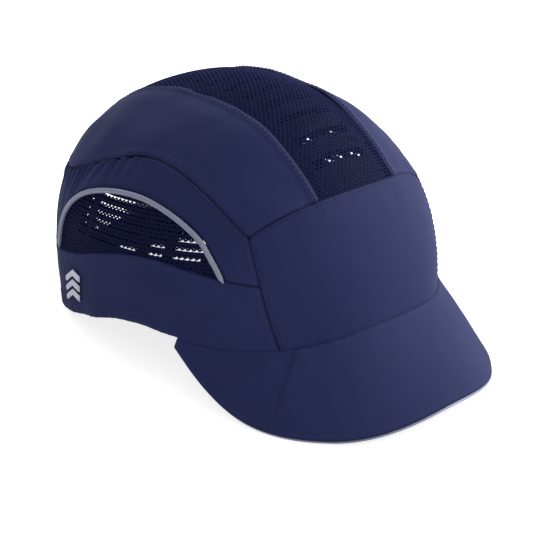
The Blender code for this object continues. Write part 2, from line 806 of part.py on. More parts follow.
def build_adjuster(webbing, elastic, plastic, steel):
    spans = (
        ("strap_webbing", STRAP_RUN, STRAP_OUTER, STRAP_THICK, 16, webbing),
        ("strap_tip", TIP_RUN, STRAP_OUTER, TIP_THICK, 2, plastic),
        ("rear_elastic", ELASTIC_RUN, STRAP_OUTER, STRAP_THICK, 8, elastic),
        ("anchor_tab_right", RIGHT_TAB_RUN, STRAP_OUTER + 0.5, TAB_FOLDED, 6, webbing),
        ("anchor_tab_left", LEFT_TAB_RUN, STRAP_OUTER + TAB_CLEAR + TAB_THICK, TAB_THICK, 7, webbing),
    )
    for name, run, outer, thick, columns, material in spans:
        ring_sheet(name, *run, outer, thick, columns, material)

    # Buckle, in its own frame: +Y outward from the strap's outer face, X along the strap.
    frame = bpy.data.objects.new("buckle_frame", None)
    bpy.data.collections["bump_cap"].objects.link(frame)
    frame.location = Vector(ring_point(BUCKLE_ANGLE, STRAP_OUTER, STRAP_MIDDLE)) * MM
    frame.rotation_euler = (0, 0, -math.radians(BUCKLE_ANGLE))
    half = BUCKLE_HEIGHT / 2
    end = BUCKLE_LENGTH / 2
    slot = CHANNEL_HEIGHT / 2
    open_half = POCKET_HEIGHT / 2
    wide = LEVER_WIDTH / 2
    inner = CHANNEL_ROOM - CHANNEL_DEPTH
    plate_in, plate_out = LEVER_PLATE
    base = block("buckle_base", (-end, inner - BUCKLE_FLOOR, -half), (end, PIN_OUT + BUCKLE_PROUD, half),
                 "bump_cap")
    channel = block("cut_channel", (-end - 1, inner, -slot), (end + 1, CHANNEL_ROOM, slot), "cutters")
    pocket = block("cut_pocket", (-end - 1, CHANNEL_ROOM - 0.5, -open_half),
                   (PIN_ALONG + POCKET_END, PIN_OUT + BUCKLE_PROUD + 1, open_half), "cutters")
    bore = rod("cut_pin_bore", PIN_RADIUS + PIN_CLEAR, half + 1, "cutters")
    pin = rod("buckle_pin", PIN_RADIUS, half - 0.4, "bump_cap")
    lever = rod("buckle_lever", LEVER_HUB, wide, "bump_cap")
    plate = block("lever_plate", (-LEVER_LENGTH, plate_in, -wide), (0, plate_out, wide), "cutters")
    for piece in (base, channel, pocket, bore, pin, lever, plate):
        piece.parent = frame
    for piece in (bore, pin, lever, plate):
        piece.location = Vector((PIN_ALONG, PIN_OUT, 0)) * MM
    for helper in (channel, pocket, bore):
        cut(base, helper)
    cut(lever, plate, "UNION")
    cut(lever, bore)
    for part, material in ((base, plastic), (pin, steel), (lever, plastic)):
        part.data.materials.append(material)
    pin.data.shade_smooth()
    pin.data.set_sharp_from_angle(angle=SHARP_ANGLE)


def stand_on_origin():
    """Parents everything to one empty, so that the origin is under the middle of the cap."""
    origin = bpy.data.objects.new("cap_origin", None)
    origin.location = (0, ORIGIN_Y * MM, 0)
    for collection in ("bump_cap", "cutters"):
        for part in bpy.data.collections[collection].objects:
            if part.parent is None:
                part.parent = origin
    bpy.data.collections["bump_cap"].objects.link(origin)


def main():
    clear_scene()
    navy = finish("navy_polycotton", "2D305A", 0.75)
    net = finish("navy_netting", "14163A", 0.8)
    reflective = finish("reflective_piping", "9BA0BE", 0.4)
    tape = finish("binding_tape", "23254A", 0.85)
    build_fabric(navy, net, reflective, tape)
    build_peak(navy, finish("peak_board_plastic", "D8D8D8", 0.5), reflective)
    build_shell(finish("black_abs", "15151A", 0.45))
    build_liner(finish("grey_foam", "4A4A50", 0.95), finish("towelling", "1E1F3C", 0.95), tape,
                finish("label_satin", "E8E8E8", 0.6))
    build_emblem(finish("embroidery_thread", "C3C3E1", 0.55))
    build_adjuster(finish("webbing", "1B1D3B", 0.85), finish("elastic", "101020", 0.8),
                   finish("buckle_acetal", "101014", 0.4), finish("steel_pin", "B8B8BC", 0.3, 1.0))
    stand_on_origin()


main()
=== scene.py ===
"""Looks of a bump cap: a sewn navy cap with netting vents over a hard shell.

Every shape is worked out from one outer surface, in millimetres about the middle of the
crown's plan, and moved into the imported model's frame when its mesh is made. The front is
-Y, the wearer's right is -X and +Z is up.
"""

import logging
import math
from dataclasses import dataclass
from enum import Enum, IntEnum
from functools import cached_property
from typing import Callable

import bmesh
import bpy
import numpy as np
from mathutils import Matrix, Vector


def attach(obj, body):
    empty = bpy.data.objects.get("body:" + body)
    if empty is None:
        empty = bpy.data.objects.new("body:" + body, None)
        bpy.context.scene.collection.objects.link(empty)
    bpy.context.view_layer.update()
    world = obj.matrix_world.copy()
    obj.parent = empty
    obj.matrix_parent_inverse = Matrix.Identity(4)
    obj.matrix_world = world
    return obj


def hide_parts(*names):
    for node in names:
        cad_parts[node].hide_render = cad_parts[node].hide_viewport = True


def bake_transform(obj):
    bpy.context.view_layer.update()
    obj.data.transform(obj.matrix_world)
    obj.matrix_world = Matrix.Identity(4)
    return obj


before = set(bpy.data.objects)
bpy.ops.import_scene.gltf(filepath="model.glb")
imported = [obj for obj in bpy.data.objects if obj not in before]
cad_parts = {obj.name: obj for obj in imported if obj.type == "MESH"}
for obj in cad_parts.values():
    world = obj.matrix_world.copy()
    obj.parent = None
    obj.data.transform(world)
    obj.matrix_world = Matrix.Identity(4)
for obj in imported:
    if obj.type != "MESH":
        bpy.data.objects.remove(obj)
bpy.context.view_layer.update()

Array = np.ndarray
Height = Callable[[Array], Array]

MM = 0.001
SHARP = math.radians(40)
log = logging.getLogger("bump_cap")


class Side(IntEnum):
    """Half of the cap, as the sign of its X."""

    LEFT = 1
    RIGHT = -1

    @property
    def label(self) -> str:
        """Name of the half as it ends a piece's name."""
        return self.name.lower()


class Edge(Enum):
    """Edge of a patch: LOW and HIGH end its rows, START and END end its columns."""

    LOW = "low"
    HIGH = "high"
    START = "start"
    END = "end"


class Weave(Enum):
    """How a cloth's threads lie."""

    TWILL = "twill"
    RIB = "rib"
    TERRY = "terry"
    KNIT = "knit"


# Plain mathematics.


def lerp(a: Array | float, b: Array | float, t: Array | float) -> Array | float:
    """Point a share t of the way from a to b."""
    return a + (b - a) * t


def smooth(t: Array | float) -> Array:
    """Rises from 0 to 1 with level ends: 3 t squared minus 2 t cubed."""
    t = np.clip(t, 0, 1)
    return t * t * (3 - 2 * t)


def unit(vectors: Array) -> Array:
    """Vectors of length one in the same directions."""
    return vectors / np.maximum(np.linalg.norm(vectors, axis=-1, keepdims=True), 1e-9)


def bell(distance: Array, width: float) -> Array:
    """Hump that is 1 at no distance and dies away over the width: exp of minus its square."""
    return np.exp(-((distance / width) ** 2))


def packed(count: int, ends: float = 0.55) -> Array:
    """Stations from 0 to 1 that lie closer together near both ends: t less a sine wave."""
    t = np.linspace(0, 1, count)
    return t - ends * np.sin(2 * math.pi * t) / (2 * math.pi)


def bisect(test: Callable[[Array], Array], low: Array, high: Array, steps: int = 34) -> Array:
    """Root of an increasing test, by halving, for whole arrays at once.

    Args:
        test: function that is negative below its root and positive above it.
        low: values below the root.
        high: values above the root.
        steps: how often the interval is halved.

    Returns:
        The roots.
    """
    for _ in range(steps):
        middle = (low + high) / 2
        over = test(middle) > 0
        high = np.where(over, middle, high)
        low = np.where(over, low, middle)
    return (low + high) / 2


def run_along(points: Array) -> Array:
    """Distance of each point of a polyline from its first one, along the line."""
    return np.concatenate([[0], np.cumsum(np.linalg.norm(np.diff(points, axis=0), axis=1))])


def tapered(count: int, tip: float, length: float) -> Array:
    """Sizes of a cord's sections: a share at both tips, rising to 1 over a number of them."""
    steps = np.arange(count)
    return tip + (1 - tip) * smooth(np.minimum(steps, steps[::-1]) / length)


def along_line(points: Array, count: int) -> Array:
    """Evenly spread samples of a polyline, by the distance run along it."""
    run = run_along(points)
    stations = np.linspace(0, run[-1], count)
    return np.stack([np.interp(stations, run, column) for column in points.T], -1)


def smooth_line(points: list[tuple[float, float]], count: int) -> Array:
    """Catmull-Rom curve through given points, as evenly spread samples.

    Each stretch is the cubic that passes its two points with the slopes of their
    neighbours' chords.
    """
    given = np.array(points, float)
    padded = np.vstack([2 * given[0] - given[1], given, 2 * given[-1] - given[-2]])
    t = np.linspace(0, 1, 25)[:, None]
    stretches = []
    for i in range(len(given) - 1):
        a, b, c, d = padded[i : i + 4]
        stretches.append(0.5 * (2 * b + (c - a) * t + (2 * a - 5 * b + 4 * c - d) * t**2
                                + (3 * b - a - 3 * c + d) * t**3))
    return along_line(np.vstack(stretches), count)


def beside_line(points: Array, distance: float) -> Array:
    """Plane curve moved sideways, to the left of its direction of travel."""
    along = unit(np.gradient(points, axis=0))
    return points + distance * np.stack([-along[:, 1], along[:, 0]], -1)


def billow(points: Array, wavelength: float, height: float, seed: int) -> Array:
    """Soft unevenness of cloth: the mean of eight sine waves in seeded random directions."""
    rng = np.random.default_rng(seed)
    total = np.zeros(points.shape[:-1])
    for _ in range(8):
        wave = unit(rng.normal(size=3)) * 2 * math.pi / (wavelength * rng.uniform(0.7, 1.5))
        total += np.sin(points @ wave + rng.uniform(0, 2 * math.pi))
    return height * total / 3


# The cap's surface.


@dataclass
class CapForm:
    """Outer surface of the cap, its seams and the surface of its peak."""

    half_width: float = 92.0
    front_reach: float = 104.0
    rear_reach: float = 105.5
    height: float = 128.0
    lean: float = 4.5
    front_power: float = 2.06
    rear_power: float = 2.2
    # Vertical curve at the front, side and rear: two exponents and how far the rim draws in.
    profiles: tuple[tuple[float, ...], ...] = (
        (2.15, 1.97, 0.08), (3.6, 1.53, 0.057), (3.55, 1.68, 0.10))
    middle_y: float = 2.0
    middle_z: float = 40.0
    origin_y: float = 16.25
    front_seam_x: float = 62.0
    front_seam_z: float = 62.0
    front_seam_bend: float = 0.005
    front_top_y: float = -67.5
    arc_top: float = 100.5
    rim_side: float = 29.5
    rim_rear: float = -0.2
    band_width: float = 34.2
    net_half: float = 26.0
    peak_root: float = 35.2
    peak_slope: float = 0.740
    peak_bow: float = 0.0066
    ear_bow: float = 0.013
    ear_x: float = 60.0
    corner_y: float = -37.0
    tuck: float = 3.4
    tuck_corner: float = 2.0

    @property
    def middle(self) -> Array:
        """Point inside the cap that every outward direction starts from."""
        return np.array([0.0, self.middle_y, self.middle_z])

    def share(self, z: Array, phi: Array, depth: float) -> Array:
        """Share of the plan outline kept at height z: (1 - s^n)^(1/m) times the rim's draw.

        The exponents are mixed from the front, side and rear ones by the squared sine and
        cosine of the direction.
        """
        squared = np.cos(phi) ** 2
        front = np.where(np.cos(phi) > 0, squared, 0)
        weights = (front, 1 - squared, squared - front)
        bend, fall, draw = (sum(w * p[i] for w, p in zip(weights, self.profiles)) for i in range(3))
        s = np.clip(z / (self.height - depth), 0, 1)
        return np.clip(1 - s**bend, 0, 1) ** (1 / fall) * (1 - draw * (1 - s) ** 4)

    def moved_back(self, z: Array) -> Array:
        """How far the outline at height z lies behind the plan's middle."""
        return self.lean * np.clip(z / self.height, 0, 1) ** 1.5

    def wall(self, phi: Array, z: Array, depth: float = 0.0) -> Array:
        """Point of the surface in direction phi at height z: a superellipse times its share.

        Args:
            phi: direction in radians, 0 at the front and 90 degrees at +X.
            z: height.
            depth: how far under the outer surface.

        Returns:
            The points, with X, Y and Z last.
        """
        phi, z = np.broadcast_arrays(np.asarray(phi, float), np.asarray(z, float))
        front = np.cos(phi) > 0
        reach = np.where(front, self.front_reach, self.rear_reach) - depth
        power = 2 / np.where(front, self.front_power, self.rear_power)
        x = (self.half_width - depth) * np.sign(np.sin(phi)) * np.abs(np.sin(phi)) ** power
        y = -reach * np.sign(np.cos(phi)) * np.abs(np.cos(phi)) ** power
        share = self.share(z, phi, depth)
        return np.stack([x * share, y * share + self.moved_back(z), z], -1)

    def outside(self, points: Array, depth: float = 0.0) -> Array:
        """Positive outside the surface and negative inside it: plan size less its share."""
        x, y, z = np.moveaxis(points, -1, 0)
        y = y - self.moved_back(z)
        front = y < 0
        power = np.where(front, self.front_power, self.rear_power)
        across = np.abs(x) / (self.half_width - depth)
        along = np.abs(y) / (np.where(front, self.front_reach, self.rear_reach) - depth)
        phi = np.arctan2(across ** (power / 2), np.where(front, 1, -1) * along ** (power / 2))
        size = (across**power + along**power) ** (1 / power)
        return np.where(z > self.height - depth, 1.0, size - self.share(z, phi, depth))

    def normal(self, points: Array) -> Array:
        """Outward normal: the slope of outside() by small steps along each axis."""
        step = 0.4
        slopes = []
        for axis in np.eye(3):
            slopes.append(self.outside(points + axis * step) - self.outside(points - axis * step))
        return unit(np.stack(slopes, -1))

    def onto_wall(self, points: Array, depth: float = 0.0) -> Array:
        """Points moved along rays from the middle of the cap until they lie on the surface."""
        rays = unit(points - self.middle)
        low = np.zeros(points.shape[:-1])
        reach = bisect(lambda r: self.outside(self.middle + rays * r[..., None], depth),
                       low, low + 170)
        return self.middle + rays * reach[..., None]

    def roof(self, x: Array, y: Array, depth: float = 0.0) -> Array:
        """Point of the surface straight above (x, y)."""
        x, y = np.broadcast_arrays(np.asarray(x, float), np.asarray(y, float))
        low = np.full(x.shape, 45.0)
        z = bisect(lambda h: self.outside(np.stack([x, y, h], -1), depth), low, low + 90)
        return np.stack([x, y, z], -1)

    def on_curve(self, phi: Array, curve: Height) -> Array:
        """Height at which the wall in direction phi meets a side-view curve z = curve(y)."""
        phi = np.asarray(phi, float)
        low = np.full(phi.shape, -5.0)
        return bisect(lambda z: z - curve(self.wall(phi, z)[..., 1]), low, low + 125)

    def rim(self, y: Array) -> Array:
        """Lower edge of the sides: level under the temples, dipping to the nape."""
        return lerp(self.rim_side, self.rim_rear, smooth((y + 25) / 105))

    def band_line(self, y: Array) -> Array:
        """Seam above the lower band: the rim raised by the band's width, less at the front."""
        return self.rim(y) + self.band_width - 0.07 * np.clip(-30 - y, 0, None)

    def arc_line(self, y: Array) -> Array:
        """Seam over the side vent: a parabola in front of its top and a bell behind it."""
        front = self.arc_top - 0.0062 * (y - 2) ** 2
        rear = self.arc_top - 36 * (1 - np.exp(-(((y - 2) / 58) ** 2)))
        return np.where(y < 2, front, rear)

    def band_height(self, phi: Array) -> Array:
        """Height of the band's seam in direction phi."""
        return self.on_curve(phi, self.band_line)

    def arc_height(self, phi: Array) -> Array:
        """Height of the arc seam in direction phi."""
        return self.on_curve(phi, self.arc_line)

    def seam_x(self, z: Array) -> Array:
        """Distance of the front seam from the middle at height z: a shallow parabola."""
        return self.front_seam_x - self.front_seam_bend * (z - self.front_seam_z) ** 2

    def front_seam(self, z: Array) -> Array:
        """Direction in which the front seam crosses height z."""
        z = np.asarray(z, float)
        low = np.full(z.shape, 0.2)
        return bisect(lambda a: self.wall(a, z)[..., 0] - self.seam_x(z), low, low + 1.2)

    def peak_surface(self, x: Array, y: Array) -> Array:
        """Height of the peak's top: a slope less parabolas that bow it down to both sides."""
        ears = np.clip(np.abs(x) - self.ear_x, 0, None)
        slope = self.peak_root + self.peak_slope * (y + self.front_reach)
        return slope - self.peak_bow * x**2 - self.ear_bow * ears**2

    def peak_seam(self, phi: Array) -> Array:
        """Height at which the peak meets the wall."""
        phi = np.asarray(phi, float)
        low = np.zeros(phi.shape)

        def above(z: Array) -> Array:
            """Height of the wall over the peak's surface."""
            at = self.wall(phi, z, -0.4)
            return z - self.peak_surface(at[..., 0], at[..., 1])

        return bisect(above, low, low + 60)

    @cached_property
    def corner(self) -> float:
        """Direction in which the peak's rear corner meets the wall."""
        low = np.array(0.3)
        return float(bisect(lambda a: self.wall(a, self.rim_side)[..., 1] - self.corner_y,
                            low, low + 1.7))

    def low_edge(self, phi: Array) -> Array:
        """Lower edge of the cloth: tucked behind the peak at the front, then the rim."""
        phi = np.abs(np.asarray(phi, float))
        tuck = lerp(self.tuck, self.tuck_corner, smooth((phi - self.corner) / 0.25 + 1))
        tucked = self.peak_seam(phi) - tuck
        return np.where(phi < self.corner, tucked, self.on_curve(phi, self.rim))

    @cached_property
    def seam_phi(self) -> float:
        """Direction of the point where the front, arc and front-top seams meet."""
        def beyond(a: Array) -> Array:
            """How far the arc seam lies outside the front seam."""
            at = self.wall(a, self.arc_height(a))
            return at[..., 0] - self.seam_x(at[..., 2])

        low = np.array(0.4)
        return float(bisect(beyond, low, low + 1.2))

    @cached_property
    def seam_point(self) -> Array:
        """The point where those three seams meet."""
        return self.wall(self.seam_phi, self.arc_height(self.seam_phi))

    def arc_azimuth(self, x: Array) -> Array:
        """Rear direction in which the arc seam is x from the middle."""
        x = np.asarray(x, float)
        low = np.full(x.shape, 1.8)
        return bisect(lambda a: x - self.wall(a, self.arc_height(a))[..., 0],
                      low, np.full(x.shape, math.pi))

    def front_top(self, x: Array) -> Array:
        """Upper edge of the front panel in the plan view: a parabola through both corners."""
        corner = self.seam_point
        return self.front_top_y + (corner[1] - self.front_top_y) * (x / corner[0]) ** 2

    def strip_point(self, x: Array, angle: Array, depth: float = 0.0) -> Array:
        """Point of the surface at a given x, at an angle round the crown from straight up."""
        ray = np.stack([np.zeros(x.shape), np.sin(angle), np.cos(angle)], -1)
        start = np.stack([x, np.zeros(x.shape), np.full(x.shape, self.middle_z)], -1)
        low = np.zeros(x.shape)
        reach = bisect(lambda r: self.outside(start + ray * r[..., None], depth), low, low + 150)
        return start + ray * reach[..., None]

    def strip_angle(self, points: Array) -> Array:
        """Angle round the crown of points, from straight up."""
        return np.arctan2(points[..., 1], points[..., 2] - self.middle_z)

    def from_side(self, points: Array) -> Array:
        """Side-view points (y, z) taken onto the wall at +X."""
        y, z = np.moveaxis(np.asarray(points, float), -1, 0)
        low = np.full(y.shape, 0.15)
        return self.wall(bisect(lambda a: self.wall(a, z)[..., 1] - y, low, low + 2.95), z)

    def from_rear(self, points: Array) -> Array:
        """Rear-view points (x, z) taken onto the wall at the back."""
        x, z = np.moveaxis(np.asarray(points, float), -1, 0)
        low = np.full(x.shape, math.pi / 2 + 0.2)
        phi = bisect(lambda a: np.abs(x) - self.wall(a, z)[..., 0], low, np.full(x.shape, math.pi))
        halves = np.where(x < 0, -1.0, 1.0)
        return self.wall(phi, z) * np.stack([halves, np.ones(x.shape), np.ones(x.shape)], -1)


FORM = CapForm()


# Patches and meshes.


@dataclass
class Patch:
    """Grid of points on a surface, with rows along v and columns along u."""

    points: Array
    away_from: tuple[float, float, float] = (0.0, 2.0, 40.0)

    @cached_property
    def normals(self) -> Array:
        """Normals that point away from the given point: across the grid's two directions."""
        across = np.gradient(self.points, axis=1)
        found = unit(np.cross(across, np.gradient(self.points, axis=0)))
        outward = ((self.points - np.array(self.away_from)) * found).sum()
        return found if outward > 0 else -found

    @property
    def turned(self) -> bool:
        """True where u, v and the outward normal make a left-handed set."""
        across, along = np.gradient(self.points, axis=1), np.gradient(self.points, axis=0)
        return float((np.cross(across, along) * self.normals).sum()) < 0

    def runs(self) -> tuple[Array, Array]:
        """Distance run along the grid lines in u and in v, from their first points."""
        lengths = []
        for axis in (1, 0):
            steps = np.linalg.norm(np.diff(self.points, axis=axis), axis=-1)
            pad = [(0, 0), (0, 0)]
            pad[axis] = (1, 0)
            lengths.append(np.cumsum(np.pad(steps, pad), axis=axis))
        return lengths[0], lengths[1]

    def distance(self, edge: Edge) -> Array:
        """Distance of each point from an edge, along the grid lines."""
        across, along = self.runs()
        return {Edge.START: across, Edge.END: across[:, -1:] - across,
                Edge.LOW: along, Edge.HIGH: along[-1:] - along}[edge]

    def raised(self, relief: Array | float) -> "Patch":
        """The patch moved out along its normals by a relief."""
        return Patch(self.points + self.normals * np.asarray(relief)[..., None], self.away_from)

    def line_beside(self, edge: Edge, distance: float) -> tuple[Array, Array]:
        """Line that runs beside an edge, and the surface's normals along it.

        Args:
            edge: the edge that the line follows.
            distance: how far from the edge it lies, along the grid lines.

        Returns:
            The line's points and their normals.
        """
        lengths = self.distance(edge)
        points, normals = self.points, self.normals
        if edge in (Edge.START, Edge.END):
            lengths, points, normals = lengths.T, points.swapaxes(0, 1), normals.swapaxes(0, 1)
        if edge in (Edge.HIGH, Edge.END):
            lengths, points, normals = lengths[::-1], points[::-1], normals[::-1]
        upper = np.clip((lengths < distance).sum(0), 1, len(lengths) - 1)
        column = np.arange(lengths.shape[1])
        below, above = lengths[upper - 1, column], lengths[upper, column]
        t = ((distance - below) / np.maximum(above - below, 1e-9))[:, None]
        line = lerp(points[upper - 1, column], points[upper, column], t)
        return line, unit(lerp(normals[upper - 1, column], normals[upper, column], t))


class Pile:
    """Gathers blocks of vertices and four-sided faces, and makes one object of them."""

    def __init__(self) -> None:
        """Starts empty."""
        self.points: list[Array] = []
        self.quads: list[Array] = []
        self.places: list[Array] = []
        self.wear_and_seam_shade: list[Array] = []
        self.count = 0

    def add(self, points: Array, quads: Array, places: Array | None = None,
            wear_and_seam_shade: Array | None = None) -> None:
        """Adds a block.

        Args:
            points: vertices, in millimetres about the middle of the plan.
            quads: their faces, four vertex numbers each.
            places: where each vertex lies on the cloth, in millimetres.
            wear_and_seam_shade: how much each vertex is rubbed (positive), or darkened by painted
                shade in a seam (negative).
        """
        self.points.append(points)
        self.quads.append(quads + self.count)
        self.places.append(np.zeros((len(points), 2)) if places is None else places)
        self.wear_and_seam_shade.append(np.zeros(len(points)) if wear_and_seam_shade is None else wear_and_seam_shade)
        self.count += len(points)

    def sheet(self, patch: Patch, thickness: float | Array, wear_and_seam_shade: Array | None = None) -> None:
        """Adds a patch as a closed sheet, thickened against its normals.

        Args:
            patch: its outer face.
            thickness: how thick it is, at each point or everywhere.
            wear_and_seam_shade: how rubbed each point of the patch is, or how much painted shade it
                gets in a seam.
        """
        rows, columns = patch.points.shape[:2]
        inner = patch.raised(-np.broadcast_to(thickness, (rows, columns))).points
        number = np.arange(rows * columns).reshape(rows, columns)
        faces = np.stack([number[:-1, :-1], number[:-1, 1:], number[1:, 1:], number[1:, :-1]], -1)
        outer = faces.reshape(-1, 4)
        ring = np.concatenate([number[0, :-1], number[:-1, -1],
                               number[-1, :0:-1], number[:0:-1, 0]])
        after = np.roll(ring, -1)
        count = rows * columns
        sides = np.stack([after, ring, ring + count, after + count], -1)
        quads = np.concatenate([outer, outer[:, ::-1] + count, sides])
        places = np.stack(patch.runs(), -1).reshape(-1, 2)
        # rubbed holds the wear and, where negative, the painted shade in seams.
        rubbed = np.zeros(count) if wear_and_seam_shade is None else wear_and_seam_shade.ravel()
        self.add(np.concatenate([patch.points.reshape(-1, 3), inner.reshape(-1, 3)]),
                 quads[:, ::-1] if patch.turned else quads,
                 np.concatenate([places, places]), np.concatenate([rubbed, rubbed]))

    def sweep(self, path: Array, up: Array, profile: Array, size: Array | None = None) -> None:
        """Adds a profile carried along a path, with both ends closed.

        Args:
            path: points of the path.
            up: direction at each point in which the profile's second number runs.
            profile: closed outline with an even number of points (sideways, up), anticlockwise.
            size: what the profile is multiplied by at each point.
        """
        tangent = unit(np.gradient(path, axis=0))
        sideways = unit(np.cross(tangent, up))
        upward = np.cross(sideways, tangent)
        scale = np.ones(len(path)) if size is None else size
        drawn = profile[None] * scale[:, None, None]
        points = (path[:, None] + sideways[:, None] * drawn[..., :1]
                  + upward[:, None] * drawn[..., 1:])
        rings, corners = len(path), len(profile)
        number = np.arange(rings * corners).reshape(rings, corners)
        after = np.roll(number, -1, axis=1)
        sides = np.stack([number[:-1], number[1:], after[1:], after[:-1]], -1).reshape(-1, 4)
        first = np.arange(1, corners - 2, 2)
        cap = np.stack([first * 0, first, first + 1, first + 2], -1)
        far_cap = cap[:, ::-1] + (rings - 1) * corners
        places = np.broadcast_arrays(run_along(path)[:, None], run_along(profile)[None])
        self.add(points.reshape(-1, 3), np.concatenate([sides, cap, far_cap]),
                 np.stack(places, -1).reshape(-1, 2))

    def stitches(self, line: Array, normals: Array, pitch: float = 2.7, length: float = 1.9,
                 radius: float = 0.2) -> None:
        """Adds a row of stitches: small spindles laid end to end along a line.

        Args:
            line: points of the seam's line on the cloth.
            normals: the cloth's normals there.
            pitch: distance from one stitch to the next.
            length: length of a stitch.
            radius: thickness of the thread.
        """
        total = float(np.linalg.norm(np.diff(line, axis=0), axis=1).sum())
        count = max(2, int(total / pitch))
        even = along_line(np.concatenate([line, normals], axis=1), count * 2 + 1)
        centre, normal = even[1::2, :3], unit(even[1::2, 3:])
        tangent = unit(even[2::2, :3] - even[:-1:2, :3])
        sideways = np.cross(tangent, normal)
        station = np.array([-1.0, -0.75, 0.0, 0.75, 1.0])
        girth = np.array([0.3, 0.85, 1.0, 0.85, 0.3]) * radius
        turn = np.arange(6) / 6 * 2 * math.pi
        run = np.repeat(station * length / 2, 6)
        across = np.outer(girth, np.cos(turn)).ravel()
        rise = (np.outer(girth, np.sin(turn)) + (0.7 - 1.1 * station**2)[:, None] * radius).ravel()
        points = (centre[:, None] + tangent[:, None] * run[:, None]
                  + sideways[:, None] * across[:, None] + normal[:, None] * rise[:, None])
        number = np.arange(30).reshape(5, 6)
        after = np.roll(number, -1, axis=1)
        sides = np.stack([number[:-1], after[:-1], after[1:], number[1:]], -1).reshape(-1, 4)
        ends = np.array([[3, 2, 1, 0], [5, 4, 3, 0], [24, 25, 26, 27], [24, 27, 28, 29]])
        one = np.concatenate([sides, ends])[:, ::-1]
        quads = one[None] + (np.arange(len(centre)) * 30)[:, None, None]
        self.add(points.reshape(-1, 3), quads.reshape(-1, 4))

    def build(self, name: str, finish: bpy.types.Material) -> bpy.types.Object:
        """Makes the object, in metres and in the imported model's frame.

        Args:
            name: name of the piece.
            finish: its material.

        Returns:
            The new object.
        """
        points = (np.concatenate(self.points) + np.array([0, FORM.origin_y, 0])) * MM
        quads = np.concatenate(self.quads)
        mesh = bpy.data.meshes.new(name)
        mesh.vertices.add(len(points))
        mesh.vertices.foreach_set("co", points.astype(np.float32).ravel())
        mesh.loops.add(quads.size)
        mesh.loops.foreach_set("vertex_index", quads.astype(np.int32).ravel())
        mesh.polygons.add(len(quads))
        mesh.polygons.foreach_set("loop_start", np.arange(0, quads.size, 4, dtype=np.int32))
        mesh.update(calc_edges=True)
        places = np.concatenate(self.places)[quads.ravel()]
        mesh.uv_layers.new(name="cloth").data.foreach_set("uv", places.astype(np.float32).ravel())
        # The attribute carries the wear, and as negative values the painted shade in seams.
        rubbed = mesh.attributes.new("wear_and_seam_shade", "FLOAT", "POINT")
        rubbed.data.foreach_set("value", np.concatenate(self.wear_and_seam_shade).astype(np.float32))
        mesh.shade_smooth()
        mesh.set_sharp_from_angle(angle=SHARP)
        mesh.materials.append(finish)
        return placed(name, mesh)


def placed(name: str, data: bpy.types.ID) -> bpy.types.Object:
    """New object that shows the given data, at the scene's origin."""
    made = bpy.data.objects.new(name, data)
    bpy.context.scene.collection.objects.link(made)
    return made


def bake(piece: bpy.types.Object) -> None:
    """Turns a piece's modifiers into its mesh."""
    graph = bpy.context.evaluated_depsgraph_get()
    piece.data = bpy.data.meshes.new_from_object(piece.evaluated_get(graph))
    piece.modifiers.clear()


def oval(half_width: float, half_height: float, corners: int = 8) -> Array:
    """Ellipse as an even number of points, anticlockwise."""
    turn = np.arange(corners) / corners * 2 * math.pi
    return np.stack([half_width * np.cos(turn), half_height * np.sin(turn)], -1)


def mirrored(points: Array, side: Side) -> Array:
    """Points made for the left side, taken to the given side."""
    return points * np.array([int(side), 1, 1])


def settle(piece: bpy.types.Object, slot: str, *nodes: str, body: str = "cap") -> bpy.types.Object:
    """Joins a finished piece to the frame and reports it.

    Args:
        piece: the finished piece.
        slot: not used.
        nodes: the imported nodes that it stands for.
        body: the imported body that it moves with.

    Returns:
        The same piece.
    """
    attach(piece, body)
    if nodes:
        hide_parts(*nodes)
    report(piece)
    return piece


def report(piece: bpy.types.Object) -> None:
    """Logs a finished piece."""
    log.info("%s: %d faces", piece.name, len(piece.data.polygons))


def sheet_piece(name: str, patch: Patch, thickness: float | Array, finish: bpy.types.Material,
                slot: str, *nodes: str, wear_and_seam_shade: Array | None = None) -> bpy.types.Object:
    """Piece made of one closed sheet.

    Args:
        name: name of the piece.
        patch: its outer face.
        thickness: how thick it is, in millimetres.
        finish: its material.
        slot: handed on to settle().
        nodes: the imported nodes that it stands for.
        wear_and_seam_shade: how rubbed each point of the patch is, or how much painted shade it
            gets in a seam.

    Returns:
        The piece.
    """
    pile = Pile()
    pile.sheet(patch, thickness, wear_and_seam_shade)
    return settle(pile.build(name, finish), slot, *nodes)


def swept_piece(name: str, path: Array, up: Array, profile: Array, finish: bpy.types.Material,
                slot: str, *nodes: str, size: Array | None = None) -> bpy.types.Object:
    """Piece made of one profile carried along a path: see Pile.sweep and sheet_piece."""
    pile = Pile()
    pile.sweep(path, up, profile, size)
    return settle(pile.build(name, finish), slot, *nodes)


def topstitch(name: str, panel: Patch, rows: tuple[tuple[Edge, float], ...],
              thread: bpy.types.Material) -> None:
    """Rows of stitches on a panel, each beside an edge at its own distance."""
    pile = Pile()
    for edge, distance in rows:
        pile.stitches(*panel.line_beside(edge, distance))
    settle(pile.build(name, thread), "navy_polycotton")


# Materials.


def linear(colour: str) -> tuple[float, float, float, float]:
    """Linear RGBA of an sRGB hex colour."""
    parts = [int(colour[i : i + 2], 16) / 255 for i in (0, 2, 4)]
    return (*[c / 12.92 if c <= 0.04045 else ((c + 0.055) / 1.055) ** 2.4 for c in parts], 1.0)


def add_node(tree: bpy.types.NodeTree, kind: str, values: dict | None = None,
             links: dict | None = None, **settings: object) -> bpy.types.Node:
    """Adds one shader node.

    Args:
        tree: the material's node tree.
        kind: the node's type, without ShaderNode.
        values: what its sockets are set to, by name or number.
        links: the outputs that feed its sockets, by name or number.
        settings: its other properties.

    Returns:
        The new node.
    """
    node = tree.nodes.new("ShaderNode" + kind)
    for key, value in settings.items():
        setattr(node, key, value)
    for key, value in (values or {}).items():
        node.inputs[key].default_value = value
    for key, source in (links or {}).items():
        tree.links.new(source, node.inputs[key])
    return node


# A wave texture repeats every 0.314 units of its coordinate at scale 1.
WAVE_PERIOD = 0.31416


